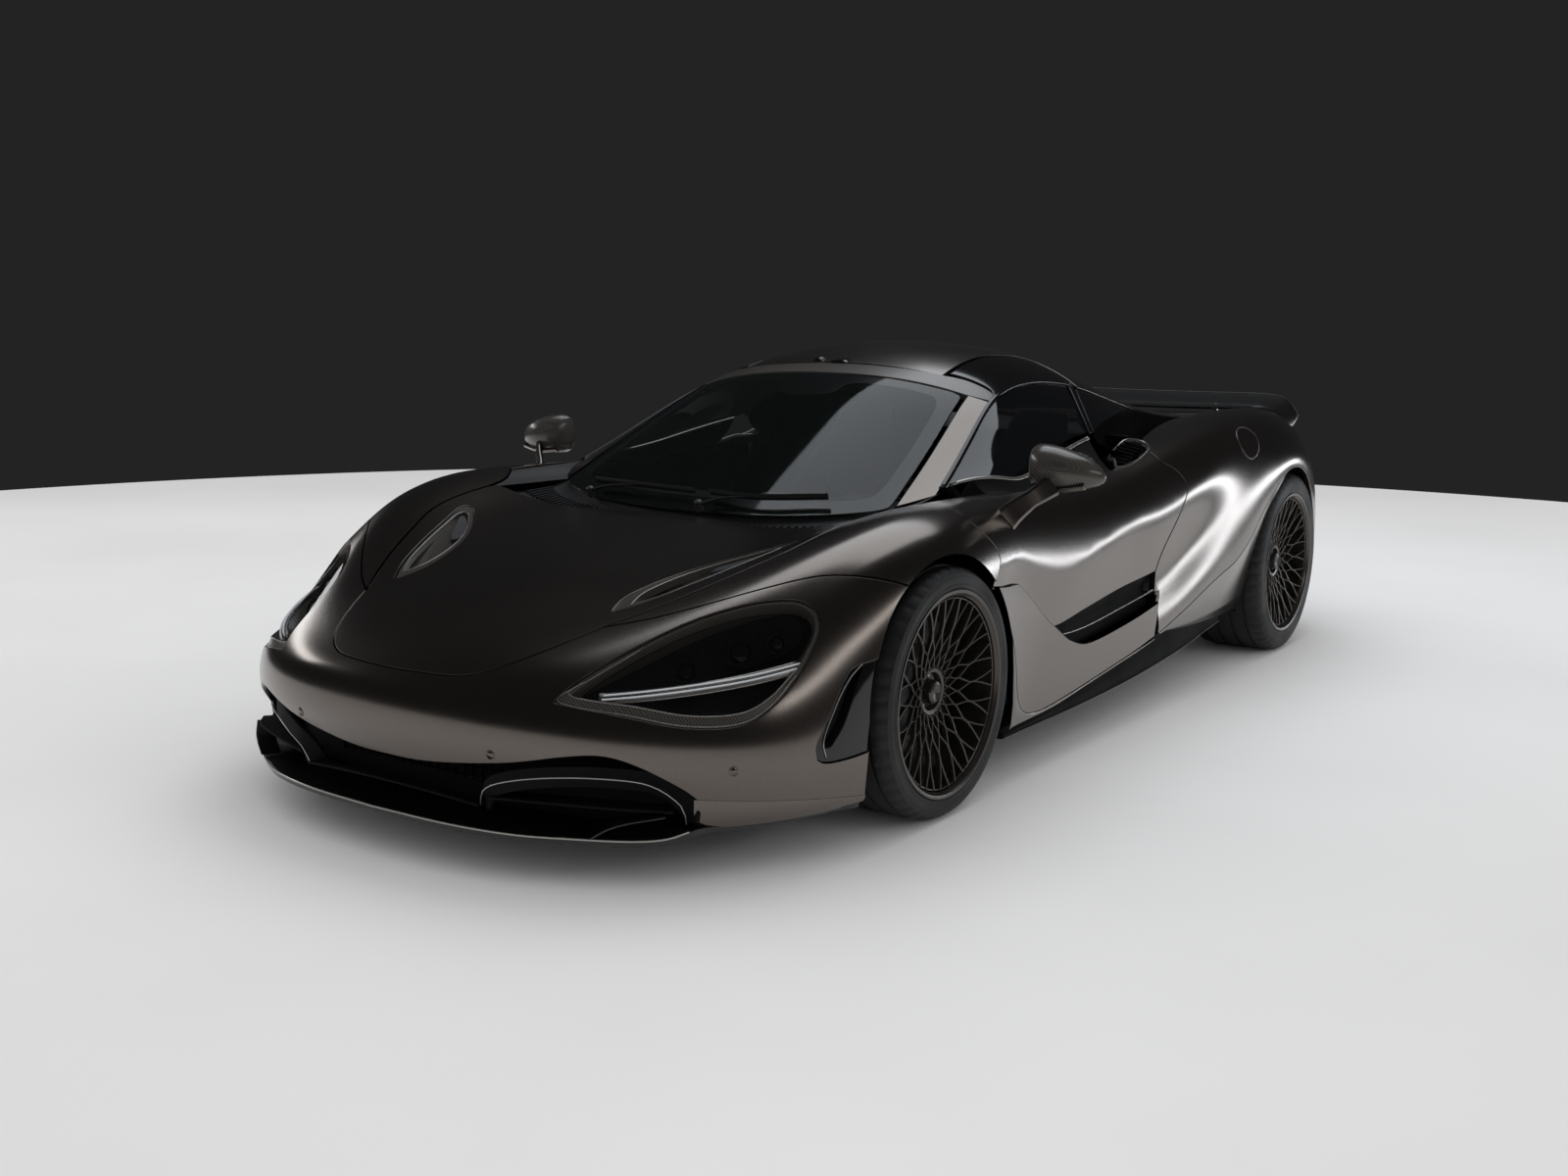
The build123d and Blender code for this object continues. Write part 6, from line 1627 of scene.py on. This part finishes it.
# %% Side skirts
SKIRT = [(405, 112, 140), (620, 112, 156), (830, 112, 172), (1160, 118, 200), (1440, 130, 238),
         (1726, 150, 318), (1900, 170, 365), (2084, 190, 412)]
skirts, rings, lip = Shape(), [], []
for y, low, top in line(SKIRT, 40):
    out, high = 899 + 4 * sin((y - SKIRT[0][0]) / 1679 * pi), top - low
    rings.append(ats([(806, y, low), (out - 3, y, low), (out + 3, y, low + 4),
                      (out + 4, y, low + 0.45 * high), (out, y, low + 0.55 * high), (893, y, top - 4),
                      (886, y, top), (806, y, top)]))
    lip.append(at(out + 4, y, low + 5))
loft(skirts, rings)
sweep(skirts, lip, (0, 0, 1), bar(0.006, 0.004), slot=1)
skirts.both()
make(skirts, "side_skirt_blades", "chassis", "carbon", [liner_black, dark_carbon], ["side_skirts"], sharp=40)
print("skirts", len(skirts.points), "points")

# %% [markdown]
# ## Cowl and wipers
# Between the bonnet and the screen lies a slatted plastic cowl. Two wipers rest on the glass's
# lower edge, each with its pivot, a bent arm and a long thin blade.

# %% Cowl and wipers
COUNT = 61
cowl, pin = Shape(), Shape()
front_row = sunk(body_skin, 0.006)([(np.interp(abs(v), [0, 2, 3.5, 3.74], [9.16, 9.12, 9.08, 8.9]), v)
                                    for v in np.linspace(-3.74, 3.74, COUNT)])
rear_row = sunk(cabin_skin, 0.006)([(np.interp(abs(v), [0, 2.5, 3.0], [0.08, 0.1, 0.2]), v)
                                    for v in np.linspace(-3.0, 3.0, COUNT)])
rows = [mix(front_row, rear_row, f) - (0, 0, d) for f, d in (
    (0, 0), (0.08, 0.018), (0.3, 0.026), (0.5, 0.030), (0.7, 0.026), (0.92, 0.014), (1, 0.004))]
sheet(cowl, rows)
for k in range(2, COUNT - 2):
    sweep(cowl, [rows[2][k] + (0, 0, 0.006), rows[4][k] + (0, 0, 0.006)], (0, 0, 1), bar(0.003, 0.010))
for s in (1, -1):
    side_a = sunk(body_skin, 0.004)(line([(8.9, 3.72), (9.5, 3.88), (10.15, 4.33)], 0.1) * (1, s))
    side_b = sunk(cabin_skin, 0.006)(line([(0.12, 2.9), (0.2, 3.4), (0.5, 3.85)], 0.1) * (1, s))
    n = min(len(side_a), len(side_b))
    sheet(cowl, [picked(side_a, n), picked(side_b, n)], flip=s > 0)
LIFT = np.array((0, -0.004, 0.012))
RUBBER = [(-0.006, 0.0), (-0.004, 0.006), (0, 0.010), (0.004, 0.006), (0.006, 0.0), (0.001, -0.002),
          (0.0008, -0.010), (-0.0008, -0.010), (-0.001, -0.002)]
turned(pin, [(-0.02, 0.011), (0.010, 0.011), (0.013, 0.008), (0.014, 0.0)], (0, 0, 0), 24, 1)
for pivot, elbow, tip, ends in (
        ((60, 118, 716), (120, 150, 736), (235, 168, 748), ((60, 170, 750), (430, 226, 758))),
        ((-390, 165, 720), (-330, 176, 738), (-200, 178, 752), ((-400, 205, 752), (10, 164, 750)))):
    arm = line(ats([pivot, elbow, tip]) + LIFT, 0.015)
    sweep(cowl, arm, (0, 0, 1), bar(0.014, 0.008, 0.35), scale=np.linspace(1.2, 0.6, len(arm)))
    cowl.put(pin, aimed((0, -0.4, 0.92)), at(*pivot) + LIFT)
    sweep(cowl, line(ats([ends[0], tip, ends[1]]) + LIFT * 0.9, 0.02), (0, -0.4, 0.9), RUBBER)
make(cowl, "cowl_and_wipers", "chassis", "black_plastic", [black_abs, alloy_and_painted_highlight], ["cowl"], sharp=40)
print("cowl", len(cowl.points), "points")

# %% [markdown]
# ### Roof pods
# Two low gloss-black teardrops sit on the roof: the aerial's cover on the centre line and a
# smaller sensor beside it. Each is a row of half-ovals that narrow and sink towards the back.

# %% Roof pods
pods = Shape()
for u, v, wide in ((3.3, 0, 0.075), (3.3 + 20 / 260, -0.475, 0.035)):
    rings = []
    for f in np.linspace(0, 1, 9):
        x, y, z = cabin_skin([(u + 0.22 * f, v)])[0]
        high, half = 0.013 * (1 - f ** 2) + 0.0005, 0.5 * wide * (1 - 0.45 * f)
        rings.append([(x + half * cos(a), y, z + high * sin(a) - 0.004) for a in np.linspace(0, pi, 13)]
                     + [(x, y, z - 0.008)])
    loft(pods, rings)
make(pods, "roof_sensor_pods", "chassis", "gloss_black", [gloss_black])
print("roof pods", len(pods.points), "points")

# %% [markdown]
# ## Cabin interior
# Through the glass one sees the dash with its binnacle, the screen and the centre console. The
# dash is one section carried across the car, which swells in front of the driver.

# %% Dash and console
DASH = [(345, 640, 0), (350, 700, 0.2), (430, 716, 0.7), (540, 712, 1), (600, 694, 1), (626, 668, 0.5),
        (618, 640, 0), (590, 612, 0), (560, 575, 0), (400, 565, 0), (350, 600, 0)]
BLOCKS = [((-75, 596, 560), (75, 640, 712), 0.008, 1), ((-66, 636, 572), (66, 643, 700), 0.002, 2),
          ((275, 618, 660), (445, 636, 730), 0.008, 2), ((-70, 640, 300), (70, 1420, 350), 0.02, 1),
          ((-45, 760, 350), (45, 900, 362), 0.006, 2)]
DRIVER_X = 360
dash = Shape()
loft(dash, [ats([(x, y, z + swell * 34 * np.exp(-((x - DRIVER_X) / 130) ** 2)) for y, z, swell in DASH])
            for x in np.linspace(-555, 555, 31)])
for low, high, bevel, slot in BLOCKS:
    block(dash, at(*low), at(*high), bevel, slot)
for x in (-480, -220, 200, 510):
    vent = line(ats([(x - 55, 628, 662), (x, 632, 664), (x + 55, 628, 662)]), 0.02)
    sweep(dash, vent, (0, 0, 1), bar(0.014, 0.034, 0.4), slot=2)
make(dash, "dash_and_console", "chassis", "dark_leather", [leather, suede, gloss_black], ["dashboard"],
     sharp=38)
print("dash", len(dash.points), "points")

# %% [markdown]
# ### Seats
# Each bucket seat is one loft that runs from the cushion's front edge to the headrest. The ring's
# ends are pushed forward, which makes the bolsters, and leather piping runs down both panels.

# %% Seats
SEAT = [(950, 268, 215, 10), (1000, 300, 228, 30), (1120, 290, 232, 40), (1280, 262, 232, 44),
        (1390, 262, 228, 40), (1440, 330, 225, 40), (1490, 470, 235, 44), (1560, 620, 228, 40),
        (1620, 740, 190, 26), (1655, 820, 130, 14), (1690, 900, 112, 12), (1706, 930, 96, 8)]
PIPING = [([(1010, 330), (1150, 322), (1330, 294)], (0, 0, 1)),
          ([(1432, 420), (1500, 560), (1560, 690)], (0, -0.9, 0.3))]
seats = Shape()
for middle in (DRIVER_X, -DRIVER_X):
    rings = []
    for y, z, wide, bolster in SEAT:
        into = np.array((0, 0.45, -0.9) if y < 1400 else (0, 0.94, -0.34))
        ring = []
        for a in np.arange(20) * 2 * pi / 20:
            c, s = cos(a), sin(a)
            out = (26 if s > 0 else 30) * s * abs(s) ** 0.2 + bolster * abs(c) ** 3
            ring.append((middle + wide * 0.98 * c * abs(c) ** -0.25, y, z) - into * out)
        rings.append(ats(ring))
    loft(seats, rings)
    for x in (-70, 70):
        for points, up in PIPING:
            sweep(seats, line(ats([(middle + x, y, z) for y, z in points]), 0.03), up,
                  bar(0.006, 0.012, 0.4), slot=1)
    block(seats, at(middle - 190, 960, 160), at(middle + 190, 1400, 262), 0.02, 2)
make(seats, "bucket_seats", "chassis", "seat_cloth", [suede, leather, black_abs], ["seats"], sharp=50)
print("seats", len(seats.points), "points")

# %% [markdown]
# ### Steering wheel
# The rim is a leather tube with a flat bottom, so that knees pass under it. It is drawn flat
# round its own hub and then turned onto the column's axis; four spokes join it to the hub.

# %% Steering wheel
COLUMN = Vector((0, 0.92, 0.39)).normalized()
RIM_R, FLAT = 0.172, 0.72
side_way = Vector((1, 0, 0))
to_wheel = np.array(Matrix((side_way, COLUMN.cross(side_way), COLUMN)).transposed())


def on_wheel(points):
    """Points of the frame from points drawn flat round the wheel's hub."""
    return np.array(points) @ to_wheel.T + at(DRIVER_X, 860, 640)


steering = Shape()
rim = [(r * cos(a), r * sin(a), 0) for a in np.arange(56) * 2 * pi / 56
       for r in [RIM_R if sin(a) > -FLAT else RIM_R * FLAT / abs(sin(a))]]
sweep(steering, on_wheel(rim), COLUMN, oval(0.028, 0.030, 12), closed=True)
for x0, y0, x1, y1 in ((-0.03, 0.005, -0.165, 0.02), (0.03, 0.005, 0.165, 0.02),
                       (-0.014, -0.03, -0.03, -0.12), (0.014, -0.03, 0.03, -0.12)):
    sweep(steering, on_wheel([(x0, y0, -0.01), (x1, y1, 0)]), COLUMN, bar(0.026, 0.012, 0.3), slot=1)
loft(steering, [on_wheel([(r * 1.15 * cos(a), r * sin(a), z) for a in np.arange(28) * 2 * pi / 28])
                for z, r in ((-0.03, 0.03), (-0.02, 0.045), (0.008, 0.05), (0.014, 0.044), (0.016, 0.0005))])
make(steering, "steering_wheel_rim", "steering_wheel", "dark_leather", [leather, bright_edge],
     ["steering_wheel"], sharp=40)
print("steering wheel", len(steering.points), "points")

# %% [markdown]
# ### Engine
# The view through the louvres and from behind shows the engine's covers, their ribs and the
# plenum's runners. They are placed as shares of the solid model's plain block.

# %% Engine
engine = Shape()
low, high = np.array(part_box("engine_block"))
size = high - low
block(engine, low + size * (0.06, 0.02, 0), low + size * (0.94, 0.98, 0.62), 0.02)
for share in (0.16, 0.84):
    x, z = low[0] + size[0] * share, low[2]
    block(engine, (x - 0.075, low[1] + 0.05 * size[1], z + 0.6 * size[2]),
          (x + 0.075, low[1] + 0.62 * size[1], z + 0.86 * size[2]), 0.015, 1)
    for k in range(8):
        y = low[1] + size[1] * (0.08 + 0.07 * k)
        block(engine, (x - 0.07, y, z + 0.855 * size[2]), (x + 0.07, y + 0.012, z + 0.875 * size[2]), 0.003,
              1)
RUNNER = [(0.22, 0.8), (0.34, 0.96), (0.5, 0.985), (0.66, 0.96), (0.78, 0.8)]
for k in range(5):
    runner = [low + size * (f, 0.1 + 0.11 * k, z) for f, z in RUNNER]
    sweep(engine, line(runner, 0.03), (0, 1, 0), oval(0.05, 0.05, 12))
make(engine, "engine_dressed", "chassis", "engine_alloy", [alloy_and_painted_highlight, dark_carbon], ["engine_block"])
print("engine", len(engine.points), "points")

# %% [markdown]
# ### Tub, floor and running gear
# These stay as the solid model made them, since their shapes are right, and only get finishes:
# woven carbon for the tub, cast alloy for frames and arms, plastic below and rubber pads.

# %% Finishes of the carried-over parts
FINISHES = {"monocoque": dark_carbon, "underfloor": black_abs, "front_frame": alloy_and_painted_highlight,
            "rear_frame": alloy_and_painted_highlight, "steering_column": black_abs, "front_wishbones": alloy_and_painted_highlight,
            "rear_suspension": alloy_and_painted_highlight, "jack_pads": rubber}
for node, material in FINISHES.items():
    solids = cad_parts[node]
    for solid in solids if isinstance(solids, (list, tuple)) else [solids]:
        for holder in solid.material_slots:
            holder.material = material
print(len(FINISHES), "parts keep the solid model's shape")

# %% [markdown]
# ## Floor
# The floor is pale cast concrete, a little cloudy as concrete always is. It is a wide disc, so
# that its rim stays out of the picture.

# %% Floor
FLOOR_R, EDGES = 8.0, 256
floor_mesh = bpy.data.meshes.new("floor")
rim = [(FLOOR_R * cos(2 * pi * k / EDGES), FLOOR_R * sin(2 * pi * k / EDGES), 0) for k in range(EDGES)]
floor_mesh.from_pydata(rim, [], [tuple(range(EDGES))])
concrete, shader = finish("cast_concrete_floor", "#d3d2d0", 0.55)
place = add(concrete, "TexCoord")
cloud = add(concrete, "TexNoise", None, Vector=place.outputs["Object"], Scale=0.5, Detail=8.0)
shade = add(concrete, "Mix", {"data_type": "RGBA"}, i0=cloud.outputs["Fac"], i6=linear("#ecebe9"),
            i7=linear("#d8d7d5"))
wire(shader.inputs["Base Color"], shade.outputs[2])
floor_mesh.materials.append(concrete)
floor = bpy.data.objects.new("floor", floor_mesh)
bpy.context.scene.collection.objects.link(floor)
print("floor", 2 * FLOOR_R, "metres across")

# %% [markdown]
# ## Lamps and world
# Wide soft lamps stand where studio ones would. The room is dark where it is seen or mirrored,
# and pale where it only lights the paint, so that shadows stay soft and reflections deep.

# %% Lamps and world
world = bpy.data.worlds.new("studio")
bpy.context.scene.world = world
world.use_nodes = True
rays = add(world, "LightPath")
seen = add(world, "Math", {"operation": "MAXIMUM"}, i0=rays.outputs["Is Camera Ray"],
           i1=rays.outputs["Is Glossy Ray"])
seen = add(world, "Math", {"operation": "MAXIMUM"}, i0=seen.outputs[0],
           i1=rays.outputs["Is Transmission Ray"])
room = add(world, "Mix", {"data_type": "RGBA"}, i0=seen.outputs[0], i6=linear("#ececee"),
           i7=linear("#232324"))
wire(world.node_tree.nodes["Background"].inputs[0], room.outputs[2])
wire(world.node_tree.nodes["Background"].inputs[1], 1.0)


def lamp(name, place, aim, size, power, colour="#ffffff"):
    """Wide soft lamp at a place, aimed at a point of the frame."""
    light = bpy.data.lights.new(name, "AREA")
    light.shape, light.size, light.size_y, light.energy = "RECTANGLE", size[0], size[1], power
    light.color = linear(colour)[:3]
    holder = bpy.data.objects.new(name, light)
    holder.location = place
    holder.rotation_euler = (Vector(aim) - Vector(place)).to_track_quat("-Z", "Y").to_euler()
    bpy.context.scene.collection.objects.link(holder)


lamp("overhead", (-0.4, 2.3, 5.5), (-0.4, 2.3, 0), (4.8, 5.2), 150, "#f2f8ff")
lamp("rear_left", (4.9, 8.2, 0.6), (0.9, 0.5, 0.5), (5.0, 0.45), 52, "#f2f8ff")
lamp("left_wall", (7.5, 0.5, 3.2), (0, 0.6, 0.5), (5, 0.8), 40)
lamp("right_wall", (-7.5, -1.0, 3.2), (0, 0, 0.5), (5, 0.8), 50)
print("lamps hang; world:", world.name)

# %% [markdown]
# ## Camera
# The camera looks from ahead of the car's left corner, at standing height. Its direction comes
# from two angles, and a third one rolls it a little, as a hand-held camera is.

# %% Camera
camera = bpy.data.cameras.new("camera")
camera.lens, camera.sensor_width = 36.78, 36.0
eye = bpy.data.objects.new("camera", camera)
bpy.context.scene.collection.objects.link(eye)
bpy.context.scene.camera = eye
AZIMUTH, ELEVATION, ROLL = radians(34.68), radians(9.68), radians(0.69)
ahead = Vector((-sin(AZIMUTH) * cos(ELEVATION), cos(AZIMUTH) * cos(ELEVATION), -sin(ELEVATION)))
level = ahead.cross(Vector((0, 0, 1))).normalized()
above = level.cross(ahead)
right = level * cos(ROLL) + above * sin(ROLL)
up = above * cos(ROLL) - level * sin(ROLL)
turned_to = Matrix((right, up, -ahead)).transposed().to_4x4()
eye.matrix_world = Matrix.Translation((2.846, -4.699, 1.264)) @ turned_to
bpy.context.scene.view_settings.view_transform = "Standard"
print("camera lens", camera.lens, "mm")
